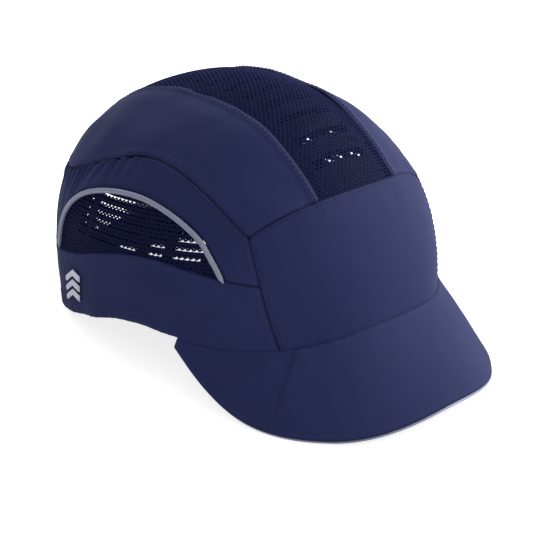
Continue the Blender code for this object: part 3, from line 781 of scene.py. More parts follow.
def start_material(name: str, **shader_values: object) -> tuple[bpy.types.Material, bpy.types.Node]:
    """New material with its principled shader set.

    Args:
        name: the finish's name.
        shader_values: sockets of the shader, with spaces written as underscores.

    Returns:
        The material and its shader.
    """
    material = bpy.data.materials.new(name)
    material.use_nodes = True
    shader = material.node_tree.nodes["Principled BSDF"]
    for key, value in shader_values.items():
        shader.inputs[key.replace("_", " ")].default_value = value
    return material, shader


@dataclass(frozen=True)
class Cloth:
    """Woven or knitted cloth, on the piece's own cloth coordinates in millimetres."""

    name: str
    colour: str
    shade: str
    light: str
    weave: Weave
    pitch: float
    roughness: float = 0.8
    sheen: float = 0.1
    sheen_tint: str = "8C93C8"
    specular: float = 0.25
    depth: float = 0.08
    fibre: float = 0.6
    by_object: bool = False

    def make(self) -> bpy.types.Material:
        """Colour drifts between two dye tones, seams get painted shade, rubbed edges turn pale, and
        the weave is a wave across the threads, crossed by a second one for a rib or a terry.

        Returns:
            The material.
        """
        material, shader = start_material(
            self.name, Roughness=self.roughness, Sheen_Weight=self.sheen, Sheen_Roughness=0.45,
            Sheen_Tint=linear(self.sheen_tint), IOR=1.46, Specular_IOR_Level=self.specular)
        tree = material.node_tree
        place = add_node(tree, "TexCoord")
        unit_size = MM if self.by_object else 1.0
        source = place.outputs["Object" if self.by_object else "UV"]
        angle = math.radians(63) if self.weave is Weave.TWILL else 0.0
        turned = add_node(tree, "Mapping", {"Rotation": (0, 0, angle)}, {"Vector": source})
        scale = WAVE_PERIOD / (self.pitch * unit_size)
        threads = add_node(tree, "TexWave", {"Scale": scale, "Distortion": 0.6, "Detail": 1.0,
                                             "Detail Scale": 2.0}, {"Vector": turned.outputs[0]})
        height = threads.outputs["Fac"]
        if self.weave is not Weave.TWILL:
            crossing = add_node(tree, "TexWave", {"Scale": scale * 0.8, "Distortion": 0.8},
                                {"Vector": turned.outputs[0]}, bands_direction="Y")
            height = add_node(tree, "Math", None, {0: height, 1: crossing.outputs["Fac"]},
                              operation="MULTIPLY").outputs[0]
        fibres = add_node(tree, "TexNoise", {"Scale": 1 / (self.fibre * unit_size), "Detail": 3.0},
                          {"Vector": source})
        drift = add_node(tree, "TexNoise", {"Scale": 1 / (26 * unit_size), "Detail": 2.0},
                         {"Vector": source})
        dyed = add_node(tree, "Mix", {6: linear(self.colour), 7: linear(self.shade)},
                        {0: drift.outputs["Fac"]}, data_type="RGBA")
        span = {"From Min": 0.3, "From Max": 0.7, "To Min": 0.86, "To Max": 1.1}
        grain = add_node(tree, "MapRange", span, {"Value": fibres.outputs["Fac"]})
        grained = add_node(tree, "Mix", {0: 1.0}, {6: dyed.outputs[2], 7: grain.outputs[0]},
                           data_type="RGBA", blend_type="MULTIPLY")
        wear_and_seam_shade = add_node(tree, "Attribute", attribute_name="wear_and_seam_shade")
        rubbed = add_node(tree, "Math", {1: 0.5}, {0: wear_and_seam_shade.outputs["Fac"]}, operation="MULTIPLY",
                          use_clamp=True)
        paled = add_node(tree, "Mix", {7: linear(self.light)},
                         {0: rubbed.outputs[0], 6: grained.outputs[2]}, data_type="RGBA")
        # Painted shade in the seams: where the attribute is negative, the colour is darkened
        # towards a third of the shade tone.
        seam_shade_amount = add_node(tree, "Math", {1: -0.75}, {0: wear_and_seam_shade.outputs["Fac"]}, operation="MULTIPLY",
                          use_clamp=True)
        seam_shade_colour = tuple(c * 0.3 for c in linear(self.shade)[:3]) + (1.0,)
        sunk = add_node(tree, "Mix", {7: seam_shade_colour}, {0: seam_shade_amount.outputs[0], 6: paled.outputs[2]},
                        data_type="RGBA")
        tree.links.new(sunk.outputs[2], shader.inputs["Base Color"])
        mixed = add_node(tree, "Mix", {0: 0.3}, {2: height, 3: fibres.outputs["Fac"]},
                         data_type="FLOAT")
        bump = add_node(tree, "Bump", {"Strength": 0.5, "Distance": self.depth * MM},
                        {"Height": mixed.outputs[0]})
        tree.links.new(bump.outputs[0], shader.inputs["Normal"])
        return material


@dataclass(frozen=True)
class Plastic:
    """Injection-moulded plastic with a fine spark-eroded grain."""

    name: str
    colour: str
    roughness: float
    grain: float = 0.6
    depth: float = 0.03
    ior: float = 1.53

    def make(self) -> bpy.types.Material:
        """The grain is a noise as fine as the mould's texture, and handling leaves it
        smoother in patches a few centimetres across.

        Returns:
            The material.
        """
        material, shader = start_material(self.name, IOR=self.ior)
        tree = material.node_tree
        place = add_node(tree, "TexCoord")
        grain = add_node(tree, "TexNoise", {"Scale": 1 / (self.grain * MM), "Detail": 2.0},
                         {"Vector": place.outputs["Object"]})
        handled = add_node(tree, "TexNoise", {"Scale": 1 / (22 * MM), "Detail": 3.0},
                           {"Vector": place.outputs["Object"]})
        span = {"To Min": self.roughness - 0.1, "To Max": self.roughness + 0.12}
        rough = add_node(tree, "MapRange", span, {"Value": handled.outputs["Fac"]})
        tree.links.new(rough.outputs[0], shader.inputs["Roughness"])
        pale = tuple(min(1.0, c * 1.5 + 0.002) for c in linear(self.colour)[:3]) + (1.0,)
        tone = add_node(tree, "Mix", {6: linear(self.colour), 7: pale}, {0: handled.outputs["Fac"]},
                        data_type="RGBA")
        tree.links.new(tone.outputs[2], shader.inputs["Base Color"])
        bump = add_node(tree, "Bump", {"Strength": 0.4, "Distance": self.depth * MM},
                        {"Height": grain.outputs["Fac"]})
        tree.links.new(bump.outputs[0], shader.inputs["Normal"])
        return material


@dataclass(frozen=True)
class GlassBeadTape:
    """Retroreflective tape: fine glass beads in a silver binder over cloth."""

    name: str
    colour: str
    bead: float = 0.35

    def make(self) -> bpy.types.Material:
        """The beads are far finer than shown: small cells of slightly different silver.

        Returns:
            The material.
        """
        material, shader = start_material(self.name, Roughness=0.42, Metallic=0.25,
                                          Coat_Weight=0.15, Coat_Roughness=0.3)
        tree = material.node_tree
        place = add_node(tree, "TexCoord")
        beads = add_node(tree, "TexVoronoi", {"Scale": 1 / (self.bead * MM)},
                         {"Vector": place.outputs["Object"]})
        tone = add_node(tree, "MapRange", {"To Min": 0.8, "To Max": 1.12},
                        {"Value": beads.outputs["Distance"]})
        silver = add_node(tree, "Mix", {0: 1.0, 6: linear(self.colour)}, {7: tone.outputs[0]},
                          data_type="RGBA", blend_type="MULTIPLY")
        tree.links.new(silver.outputs[2], shader.inputs["Base Color"])
        bump = add_node(tree, "Bump", {"Strength": 0.35, "Distance": 0.04 * MM},
                        {"Height": beads.outputs["Distance"]})
        tree.links.new(bump.outputs[0], shader.inputs["Normal"])
        return material


@dataclass(frozen=True)
class DrawnSteel:
    """Bright drawn steel wire, with fine marks along its length."""

    name: str
    colour: str

    def make(self) -> bpy.types.Material:
        """Draw marks are a noise stretched twenty times along the upright pin.

        Returns:
            The material.
        """
        material, shader = start_material(self.name, Metallic=1.0, Base_Color=linear(self.colour))
        tree = material.node_tree
        place = add_node(tree, "TexCoord")
        drawn = add_node(tree, "Mapping", {"Scale": (1, 1, 0.05)},
                         {"Vector": place.outputs["Object"]})
        marks = add_node(tree, "TexNoise", {"Scale": 1 / (0.2 * MM)}, {"Vector": drawn.outputs[0]})
        rough = add_node(tree, "MapRange", {"To Min": 0.2, "To Max": 0.42},
                         {"Value": marks.outputs["Fac"]})
        tree.links.new(rough.outputs[0], shader.inputs["Roughness"])
        return material


class Finishes:
    """Every material of the cap."""

    def __init__(self) -> None:
        """Makes them once each."""
        # Plain-dyed polyester and cotton twill, calendered: smooth, with a faint diagonal.
        # Its real 0.35 mm wales would not show, so they are drawn 0.9 mm apart.
        self.twill = Cloth("navy_polycotton_twill", "272D5C", "232954", "3B4275", Weave.TWILL, 0.9,
                           depth=0.03).make()
        # Warp-knitted polyester netting: dull filament, so the holes stay the darkest part.
        self.net = Cloth("navy_warp_knit_net", "191C4A", "14173F", "262A58", Weave.KNIT, 0.7,
                         roughness=0.8, sheen=0.0, specular=0.08).make()
        # Spun polyester sewing thread, a shade darker than the cloth.
        self.thread = Cloth("navy_sewing_thread", "1A1D40", "161836", "2C3058", Weave.RIB, 0.5,
                            roughness=0.6, by_object=True).make()
        # Folded cotton tape: cross ribs and a dull surface.
        self.tape = Cloth("navy_binding_tape", "1C1F44", "171A3A", "33375F", Weave.RIB, 0.8).make()
        # Terry towelling: loops that catch the light at their tips and hide it between.
        self.terry = Cloth("navy_terry_towelling", "1E2143", "181B38", "33375C", Weave.TERRY, 1.6,
                           depth=0.4, roughness=0.95, sheen=0.5).make()
        # Brushed polyester tricot bonded to foam: soft and matt.
        self.pad = Cloth("grey_foam_backed_tricot", "363845", "2F313D", "50525E", Weave.KNIT, 1.4,
                         depth=0.25, roughness=0.95, by_object=True).make()
        # Woven polyester satin: smooth and slightly shiny.
        self.label = Cloth("white_label_satin", "E4E3E0", "D9D8D4", "F2F1EE", Weave.RIB, 0.6,
                           roughness=0.5, sheen_tint="FFFFFF").make()
        # Rayon embroidery thread: trilobal, so it shines along the satin stitches.
        self.embroidery = Cloth("white_rayon_embroidery", "F4F4FF", "E4E4F6", "FFFFFF", Weave.RIB,
                                0.45, roughness=0.42, sheen=0.1, sheen_tint="FFFFFF").make()
        # Woven polyester webbing: ribs across it, with some shine.
        self.webbing = Cloth("navy_polyester_webbing", "1D2042", "171A38", "34385E", Weave.RIB, 1.1,
                             depth=0.15, roughness=0.7).make()
        # Knitted elastic: ribs along it, over rubber threads.
        self.elastic = Cloth("black_knitted_elastic", "15162B", "101122", "2B2D4A", Weave.RIB, 0.9,
                             depth=0.15).make()
        # Glass beads in a silver binder: grey from most sides, with fine sparkle.
        self.piping = GlassBeadTape("silver_glass_bead_piping", "9599B0").make()
        # Injection-moulded ABS shell with a fine grain: satin black.
        self.shell = Plastic("black_moulded_abs", "0A0C24", 0.55, grain=0.8, ior=1.42).make()
        # Moulded polyethylene board: waxy white.
        self.board = Plastic("white_moulded_polyethylene", "D8D8D6", 0.5).make()
        # Moulded acetal: smoother and shinier than the shell.
        self.buckle = Plastic("black_moulded_acetal", "121217", 0.36, grain=0.4, ior=1.48).make()
        # Drawn steel wire: bright, with fine marks along it.
        self.steel = DrawnSteel("bright_drawn_steel", "B8B9BD").make()


# Sewing: how cloth behaves beside a seam.


@dataclass(frozen=True)
class Seam:
    """Shape of the cloth beside one edge of a panel."""

    edge: Edge
    dip: float = 0.42
    width: float = 0.75
    swell: float = 0.16
    pucker: float = 0.0
    pitch: float = 6.0
    reach: float = 7.0
    seed: int = 1

    def relief(self, patch: Patch) -> Array:
        """The cloth turns down into the seam, swells just beside it, and gathers into small
        folds across it: a bell less a bell, plus a row of narrow bells that fade with distance.

        Args:
            patch: the panel.

        Returns:
            How far each of its points moves out.
        """
        away = patch.distance(self.edge)
        across, along = patch.runs()
        run = along if self.edge in (Edge.START, Edge.END) else across
        total = self.swell * bell(away - 2.6, 1.9) - self.dip * bell(away, self.width)
        if self.pucker:
            rng = np.random.default_rng(self.seed)
            at = rng.uniform(0, self.pitch)
            while at < run.max():
                fold, spread = rng.uniform(0.35, 1.0), self.pitch * rng.uniform(0.16, 0.3)
                lean = rng.uniform(-0.25, 0.25)
                fade = np.exp(-away / (self.reach * rng.uniform(0.6, 1.2)))
                total += -self.pucker * fold * bell(run - at - lean * away, spread) * fade
                at += self.pitch * rng.uniform(0.6, 1.5)
        return total


# Unevenness of sewn cloth, as wavelength, height and seed: broad waves, then small ones.
CLOTH_WAVES = ((46.0, 0.32, 3), (15.0, 0.06, 5))
# The deepest that cloth may sink beside its seams, and how long a panel must be, from its
# lower edge to its upper one, for its seams to show in full: they fade in its sharp corners.
DEEPEST = 1.1
FULL_LENGTH = 12.0


def sewn(patch: Patch, seams: tuple[Seam, ...], extra: Array | float = 0.0) -> tuple[Patch, Array]:
    """Panel with its seams and its own unevenness worked in.

    Args:
        patch: the plain panel.
        seams: how its edges are sewn.
        extra: further relief of the panel.

    Returns:
        The shaped panel, and how rubbed each of its points is or how much painted shade it gets in
        a seam.
    """
    relief = np.zeros(patch.points.shape[:2]) + extra
    relief += sum(billow(patch.points, *waves) for waves in CLOTH_WAVES)
    wear_and_seam_shade = np.zeros(relief.shape)
    beside = np.zeros(relief.shape)
    for seam in seams:
        beside += seam.relief(patch)
        away = patch.distance(seam.edge)
        # Paler wear on the ridge beside each seam, and painted shade along the seam itself.
        wear_and_seam_shade += 0.2 * bell(away - 2.0, 0.9) - 0.8 * bell(away, 0.45)
    beside = np.maximum(beside, -DEEPEST) * smooth(patch.distance(Edge.HIGH)[:1] / FULL_LENGTH)
    return patch.raised(relief + beside), wear_and_seam_shade


def cloth_panel(name: str, node: str, patch: Patch, seams: tuple[Seam, ...], thickness: float,
                finish: bpy.types.Material, extra: Array | float = 0.0) -> Patch:
    """Piece of navy cloth, sewn at its edges.

    Args:
        name: name of the piece.
        node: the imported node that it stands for.
        patch: the plain panel.
        seams: how its edges are sewn.
        thickness: thickness of the cloth.
        finish: its material.
        extra: further relief of the panel.

    Returns:
        The shaped panel.
    """
    panel, wear_and_seam_shade = sewn(patch, seams, extra)
    sheet_piece(name, panel, thickness, finish, "navy_polycotton", node, wear_and_seam_shade=wear_and_seam_shade)
    return panel


# The cap's sub-assemblies.


@dataclass(frozen=True)
class Netting:
    """Rows of flat knitted ribbon that swing to and fro and meet, with holes between them.

    The holes are somewhat coarser than real ones, so that they show.
    """

    pitch: float = 2.6
    row_height: float = 1.9
    swing: float = 0.45
    ribbon_half: float = 0.55
    ribbon_thick: float = 0.26

    @property
    def ribbon(self) -> Array:
        """Outline of the ribbon."""
        return oval(self.ribbon_half, self.ribbon_thick, 6)

    def offset(self, along: Array, row: int) -> Array:
        """How far a row swings aside: a cosine, in step against both its neighbours."""
        return self.swing * (1 if row % 2 else -1) * np.cos(2 * math.pi * along / self.pitch)


@dataclass
class Crown:
    """Front panel, two upper side panels and the netting strip between them."""

    finishes: Finishes
    netting: Netting = Netting()
    cloth: float = 1.0
    gap: float = 0.16
    net_depth: float = 0.55

    def span(self, u: Array, v: Array, edges: tuple[Callable[[Array], Array], ...]) -> Array:
        """Patch between four edge curves that share their corners, taken onto the wall.

        The two pairs of edges are each mixed straight across and added, less the mix of
        the four corners.

        Args:
            u: stations across.
            v: stations along.
            edges: the low, high, start and end curves, each a function of 0 to 1.

        Returns:
            The grid of points.
        """
        low, high, start, end = edges
        u, v = np.meshgrid(u, v)
        across = lerp(low(u[0])[None], high(u[0])[None], v[..., None])
        along = lerp(start(v[:, 0])[:, None], end(v[:, 0])[:, None], u[..., None])
        ends = [curve(np.array([t]))[0] for curve in (low, high) for t in (0.0, 1.0)]
        foot, head = (lerp(ends[i], ends[i + 1], u[..., None]) for i in (0, 2))
        return FORM.onto_wall(across + along - lerp(foot, head, v[..., None]))

    def front_points(self, u: Array, v: Array) -> Array:
        """Front panel, from the right front seam to the left and from the peak upwards.

        Args:
            u: stations across, from 0 to 1.
            v: stations upwards, from 0 to 1.

        Returns:
            The grid of points.
        """
        foot = float(FORM.front_seam(np.array(30.0)))
        for _ in range(4):
            foot = float(FORM.front_seam(FORM.low_edge(np.array(foot))))
        corner = FORM.seam_point

        def bottom(t: Array) -> Array:
            """Edge behind the peak."""
            phi = lerp(-foot, foot, t)
            return FORM.wall(phi, FORM.low_edge(phi))

        def top(t: Array) -> Array:
            """Seam under the netting."""
            x = lerp(-corner[0], corner[0], t)
            return FORM.roof(x, FORM.front_top(x))

        def left_seam(t: Array) -> Array:
            """Front seam on the left, upwards."""
            z = lerp(float(FORM.low_edge(np.array(foot))), corner[2], t)
            return FORM.wall(FORM.front_seam(z), z)

        def right_seam(t: Array) -> Array:
            """Front seam on the right, upwards."""
            return mirrored(left_seam(t), Side.RIGHT)

        return self.span(u, v, (bottom, top, right_seam, left_seam))

    def side_points(self, u: Array, v: Array) -> Array:
        """Upper side panel on the left, from the arc seam up to the netting strip.

        Args:
            u: stations rearwards, from 0 to 1.
            v: stations upwards, from 0 to 1.

        Returns:
            The grid of points.
        """
        half = FORM.net_half
        end = float(FORM.arc_azimuth(np.array(half + 1.5)))
        rear = FORM.wall(end, FORM.arc_height(np.array(end)))
        start = FORM.roof(half, FORM.front_top(half))
        finish = FORM.onto_wall(rear + np.array([half - rear[0], 0, 3.0]))
        turn = [float(FORM.strip_angle(p)) for p in (start, finish)]

        def arc(t: Array) -> Array:
            """Arc seam, rearwards."""
            phi = lerp(FORM.seam_phi, end, t)
            return FORM.wall(phi, FORM.arc_height(phi))

        def net_edge(t: Array) -> Array:
            """Seam beside the netting, rearwards."""
            return FORM.strip_point(np.full(t.shape, half), lerp(turn[0], turn[1], t))

        def top_seam(t: Array) -> Array:
            """Seam with the front panel, inwards."""
            x = lerp(FORM.seam_point[0], half, t)
            return FORM.roof(x, FORM.front_top(x))

        def tip(t: Array) -> Array:
            """Short rear end, inwards."""
            return FORM.onto_wall(lerp(rear, net_edge(np.ones(1))[0], t[:, None]))

        return self.span(u, v, (arc, net_edge, top_seam, tip))

    def build_front(self) -> None:
        """The front panel: a smooth foam-backed panel, topstitched along its side seams."""
        inset = self.gap / 240
        u = lerp(inset, 1 - inset, packed(260))
        v = lerp(inset, 1 - inset, packed(130))
        flat = Patch(self.front_points(u, v))
        x = flat.points[..., 0]
        hollow = -0.5 * bell(flat.distance(Edge.LOW) - 9, 9.0) * smooth(1 - np.abs(x) / 60)
        seams = (Seam(Edge.START, pucker=0.18, pitch=9, seed=11),
                 Seam(Edge.END, pucker=0.18, pitch=9, seed=12),
                 Seam(Edge.HIGH, pucker=0.14, pitch=11, seed=13),
                 Seam(Edge.LOW, dip=0.3, pucker=0.2, pitch=10, reach=5, seed=14))
        panel = cloth_panel("front_panel_cloth", "front_panel", flat, seams, self.cloth,
                            self.finishes.twill, hollow)
        rows = ((Edge.START, 2.3), (Edge.END, 2.3), (Edge.HIGH, 1.9))
        topstitch("front_panel_topstitch", panel, rows, self.finishes.thread)

    def build_side(self, side: Side) -> None:
        """An upper side panel, which bulges a little over the arc seam towards the rear."""
        u = lerp(0.0006, 0.9994, packed(300))
        v = lerp(0.0016, 0.9984, packed(130))
        flat = Patch(mirrored(self.side_points(u, v), side))
        rear = smooth((flat.points[..., 1] - 5) / 70)
        bulge = 0.35 * rear * bell(flat.distance(Edge.LOW) - 10, 9.0)
        seams = (Seam(Edge.LOW, swell=0.3, pucker=0.28, pitch=8, reach=9, seed=21 + side),
                 Seam(Edge.HIGH, dip=0.2, width=0.6, swell=0.55, pucker=0.2, pitch=12,
                      seed=25 + side),
                 Seam(Edge.START, pucker=0.16, pitch=8, seed=28 + side))
        name = f"crown_panel_{side.label}"
        panel = cloth_panel(name + "_cloth", name, flat, seams, self.cloth, self.finishes.twill,
                            bulge + billow(flat.points, 30.0, 0.45, 8))
        topstitch(name + "_topstitch", panel, ((Edge.HIGH, 2.0),), self.finishes.thread)

    def build_net(self) -> None:
        """The netting strip: its rows run across, between the front seam and the arc seam."""
        net = self.netting
        half = FORM.net_half + 0.5

        def front_angle(x: Array) -> Array:
            """Angle of the front seam round the crown."""
            return FORM.strip_angle(FORM.roof(x, FORM.front_top(x)))

        def rear_angle(x: Array) -> Array:
            """Angle of the arc seam round the crown."""
            phi = FORM.arc_azimuth(np.maximum(np.abs(x), 0.05))
            return FORM.strip_angle(FORM.wall(phi, FORM.arc_height(phi)))

        middle = np.zeros(1)
        angles = np.linspace(front_angle(middle)[0], rear_angle(middle)[0], 400)
        length = run_along(FORM.strip_point(np.zeros(400), angles))[-1]
        x = np.linspace(-half, half, int(2 * half / net.pitch * 6) + 1)
        front, rear = front_angle(x), rear_angle(x)
        pile = Pile()
        for row in range(int(length / net.row_height) + 1):
            share = (row * net.row_height + net.offset(x, row)) / length
            path = FORM.strip_point(x, lerp(front, rear, np.clip(share, -0.003, 1.003)),
                                    self.net_depth)
            pile.sweep(path, FORM.normal(path), net.ribbon)
        settle(pile.build("crown_netting", self.finishes.net), "navy_netting", "crown_mesh")

    def build(self) -> None:
        """Builds the whole crown."""
        self.build_front()
        for side in Side:
            self.build_side(side)
        self.build_net()


@dataclass
class SideWalls:
    """Side panels, lower bands, arched vents with netting and their reflective piping."""

    finishes: Finishes
    netting: Netting = Netting()
    cloth: float = 1.0
    piping_radius: float = 1.35
    # Vent arch in the side view (y, z), from its front foot to its rear foot on the band.
    arch: tuple[tuple[float, float], ...] = (
        (-53, 61), (-46, 69), (-36, 77.5), (-20, 83.5), (-2, 85.5),
        (18, 82.5), (36, 75.5), (48, 66), (55, 54), (57, 38))
    opening_half: float = 37.4
    opening_height: float = 47.4
    # Heights of the band's front end, and the height at which its seam meets the opening.
    band_front: tuple[float, float] = (31.0, 61.5)
    band_rear: float = 34.0
    # How far the side panel reaches under the band, and how deep it lies there.
    tuck: float = 1.4
    tuck_depth: float = 1.0
    # Directions are spread as lengths at this distance from the middle.
    mean_radius: float = 90.0
    # Part of the arc seam that is gathered, as shares of its length.
    gathers: tuple[float, float] = (0.30, 0.93)
    # The netting's rows: their slope, how far they reach under the piping and the band, how
    # deep they lie and the fewest points that make a row.
    net_tilt: float = -0.15
    net_margin: float = 0.9
    net_foot: float = 2.2
    net_depth: float = 0.6
    shortest_row: int = 8

    def opening_phi(self, z: Array) -> Array:
        """Direction in which the rear opening's edge crosses height z: its ellipse."""
        inside = np.clip(1 - (np.clip(z, 0, None) / self.opening_height) ** 2, 0, 1)
        x = self.opening_half * np.sqrt(inside)
        low = np.full(np.shape(z), 1.8)
        return bisect(lambda a: x - FORM.wall(a, z)[..., 0], low, np.full(np.shape(z), math.pi))

    def band_points(self, u: Array, v: Array) -> Array:
        """Lower band on the left, from the front seam to the rear opening.

        Args:
            u: stations rearwards, from 0 to 1.
            v: stations upwards, from 0 to 1.

        Returns:
            The grid of points.
        """
        start = FORM.front_seam(lerp(*self.band_front, v))
        for _ in range(4):
            start = FORM.front_seam(lerp(FORM.low_edge(start), FORM.band_height(start), v))
        end = self.opening_phi(lerp(0.0, self.band_rear, v))
        phi = lerp(start[:, None], end[:, None], u[None])
        return FORM.wall(phi, lerp(FORM.low_edge(phi), FORM.band_height(phi), v[:, None]))

    def panel_foot(self, count: int, margin: float) -> tuple[Array, Array]:
        """Lower edge of the side panel as directions and heights: band, arch, band, opening.

        Args:
            count: number of points.
            margin: how far the panel's edge stays outside the vent's arch.

        Returns:
            The directions and the heights.
        """
        arch = beside_line(smooth_line(self.arch, 140), margin)
        arch = arch[arch[:, 1] > FORM.band_line(arch[:, 0]) - 0.1]
        low = np.full(len(arch), 0.15)
        arch_phi = bisect(lambda a: FORM.wall(a, arch[:, 1])[..., 1] - arch[:, 0], low, low + 2.95)
        first = float(FORM.front_seam(FORM.band_line(np.array(-70.0))))
        front = np.linspace(first, arch_phi[0], 24)[:-1]
        meet = float(self.opening_phi(np.array(self.band_rear)))
        rear = np.linspace(arch_phi[-1], meet, 40)[1:-1]
        lowest = min(1.0, float(FORM.band_height(np.array(meet))) / self.opening_height)
        round_z = self.opening_height * np.sin(np.linspace(math.asin(lowest), math.pi / 2, 40))
        phi = np.concatenate([front, arch_phi, rear, self.opening_phi(round_z)])
        z = np.concatenate([FORM.band_height(front) - self.tuck, arch[:, 1],
                            FORM.band_height(rear) - self.tuck, round_z])
        even = along_line(np.stack([phi * self.mean_radius, z], -1), count)
        return even[:, 0] / self.mean_radius, even[:, 1]

    def panel_points(self, count_u: int, v: Array) -> Array:
        """Side panel on the left: lines fan out from its lower edge to the arc seam.

        The upper ends mix the directions of the lower ones with an even spread, half and
        half, so that the lines lean away from the vent's arch.

        Args:
            count_u: number of lines.
            v: stations along each line, upwards.

        Returns:
            The grid of points.
        """
        phi_low, z_low = self.panel_foot(count_u, 1.2)
        even = np.linspace(0, 1, count_u)
        phi_high = 0.5 * phi_low + 0.5 * lerp(FORM.seam_phi, math.pi, even)
        phi_high = phi_high + (FORM.seam_phi - phi_high[0]) * (1 - even) ** 6
        z_high = FORM.arc_height(phi_high)
        phi = lerp(phi_low[None], phi_high[None], v[:, None])
        z = lerp(z_low[None], z_high[None], v[:, None])
        snap = (FORM.front_seam(z[:, 0]) - phi[:, 0])[:, None] * np.exp(-even * 60)[None]
        return FORM.wall(phi + snap, z)

    def gathered(self, flat: Patch) -> Array:
        """Upright folds under the arc seam, deeper towards the rear.

        Each fold is a bell across the seam's direction with a lower one beside it, and both
        fade with the distance from the seam.

        Args:
            flat: the panel before its folds.

        Returns:
            How far each of its points moves out.
        """
        away = flat.distance(Edge.HIGH)
        run = flat.runs()[0][-1]
        rng = np.random.default_rng(41)
        folds = np.zeros(away.shape)
        at, stop = (run.max() * share for share in self.gathers)
        while at < stop:
            depth, spread = rng.uniform(0.6, 1.4), rng.uniform(1.1, 2.2)
            here = run[None] - at - rng.uniform(-0.35, 0.15) * away
            folds += -depth * bell(here, spread) * bell(away, rng.uniform(9, 17))
            folds += 0.45 * depth * bell(here - spread * 2.1, spread * 1.1) * bell(away, 10)
            at += rng.uniform(5.0, 9.5)
        return folds * smooth((flat.points[..., 1] - 2) / 26)

    def build_panel(self, side: Side) -> None:
        """A side panel, whose foot is tucked under the band beside the vent."""
        flat = Patch(mirrored(self.panel_points(560, lerp(0.004, 0.996, packed(70))), side))
        foot = flat.points[0]
        beside_vent = foot[:, 2] < FORM.band_line(foot[:, 1]) - self.tuck / 2
        under = np.convolve(beside_vent, np.ones(7) / 7, "same")
        sunk = self.tuck_depth * under * smooth((2.6 - flat.distance(Edge.LOW)) / 1.2)
        seams = (Seam(Edge.HIGH, swell=0.2, pucker=0.22, pitch=7, seed=51),
                 Seam(Edge.LOW, dip=0.35),
                 Seam(Edge.START, pucker=0.15, pitch=8, seed=53))
        name = f"side_panel_{side.label}"
        panel = cloth_panel(name + "_cloth", name, flat, seams, self.cloth, self.finishes.twill,
                            self.gathered(flat) - sunk)
        rows = ((Edge.HIGH, 2.1), (Edge.LOW, 1.9))
        topstitch(name + "_topstitch", panel, rows, self.finishes.thread)

    def build_band(self, side: Side) -> None:
        """A lower band, whose hem is turned up and pulls the cloth into small waves."""
        u = lerp(0.0006, 0.9994, packed(420, 0.4))
        v = lerp(0.003, 0.997, packed(64))
        flat = Patch(mirrored(self.band_points(u, v), side))
        hem = 0.35 * smooth((9.0 - flat.distance(Edge.LOW)) / 1.6)
        run = flat.runs()[0]
        behind = smooth((flat.points[..., 1] + 45) / 30)
        sway = 0.5 * np.sin(run / 7.5) + 0.35 * np.sin(run / 4.1 + 1.0)
        sway = sway * np.exp(-flat.distance(Edge.LOW) / 10) * behind
        seams = (Seam(Edge.HIGH, swell=0.22, pucker=0.2, pitch=9, seed=61 + side),
                 Seam(Edge.LOW, dip=0.5, width=0.8, swell=0.1, pucker=0.3, pitch=6,
                      seed=64 + side),
                 Seam(Edge.START, pucker=0.2, pitch=8, seed=67 + side),
                 Seam(Edge.END, dip=0.4, swell=0.0))
        name = f"band_{side.label}"
        cloth_panel(name + "_cloth", name, flat, seams, self.cloth, self.finishes.twill,
                    hem + sway)

    def build_net(self, side: Side) -> None:
        """Netting behind the vent: ribbons along nearly level rows, ending under the piping."""
        net = self.netting
        arch = beside_line(smooth_line(self.arch, 200), self.net_margin)
        y = np.arange(-58.0, 62.0, net.pitch / 6)
        over = np.interp(y, arch[:, 0], arch[:, 1], left=-99, right=-99)
        shown = y < arch[-1, 0]
        pile = Pile()
        for row, level in enumerate(np.arange(30.0, 92.0, net.row_height)):
            z = level + self.net_tilt * (y - 20)
            inside = np.flatnonzero((z < over) & (z > FORM.band_line(y) - self.net_foot) & shown)
            for run in np.split(inside, np.flatnonzero(np.diff(inside) > 1) + 1):
                if len(run) < self.shortest_row:
                    continue
                path = FORM.from_side(np.stack([y[run], (z + net.offset(y, row))[run]], -1))
                normal = FORM.normal(path)
                pile.sweep(mirrored(path - normal * self.net_depth, side), mirrored(normal, side),
                           net.ribbon)
        name = f"side_mesh_{side.label}"
        settle(pile.build(name + "_netting", self.finishes.net), "navy_netting", name)

    def build_piping(self, side: Side) -> None:
        """Reflective piping: a cord round the arch, slightly flattened, with tapered ends."""
        path = FORM.from_side(smooth_line(self.arch, 240))
        normal = FORM.normal(path)
        name = f"side_piping_{side.label}"
        swept_piece(name + "_cord", mirrored(path + normal * 0.25, side), mirrored(normal, side),
                    oval(self.piping_radius, self.piping_radius * 0.9, 14), self.finishes.piping,
                    "reflective_piping", name, size=tapered(240, 0.35, 5))

    def build(self) -> None:
        """Builds both sides."""
        for side in Side:
            self.build_band(side)
            self.build_panel(side)
            self.build_net(side)
            self.build_piping(side)


@dataclass
class RearOpening:
    """Binding round the opening over the strap."""

    finishes: Finishes
    half: float = 36.0
    height: float = 46.0
    foot: float = 2.0
    tape_half: float = 2.5
    tape_thick: float = 1.35

    def build(self) -> None:
        """Folded tape along the opening's ellipse, with one row of stitches beside its middle."""
        low = math.asin(self.foot / self.height)
        turn = np.linspace(low, math.pi - low, 160)
        path = FORM.from_rear(np.stack([self.half * np.cos(turn), self.height * np.sin(turn)], -1))
        normal = FORM.normal(path)
        circle = oval(1.0, 1.0, 16)
        size = np.array([self.tape_half, self.tape_thick])
        folded = np.sign(circle) * np.abs(circle) ** 0.75 * size
        swept_piece("opening_binding_tape", path, normal, folded, self.finishes.tape,
                    "binding_tape", "opening_binding")
        sideways = unit(np.cross(np.gradient(path, axis=0), normal))
        rows = Pile()
        rows.stitches(path + normal * 1.2 + sideways * 1.2, normal)
        settle(rows.build("opening_binding_stitch", self.finishes.thread), "binding_tape")


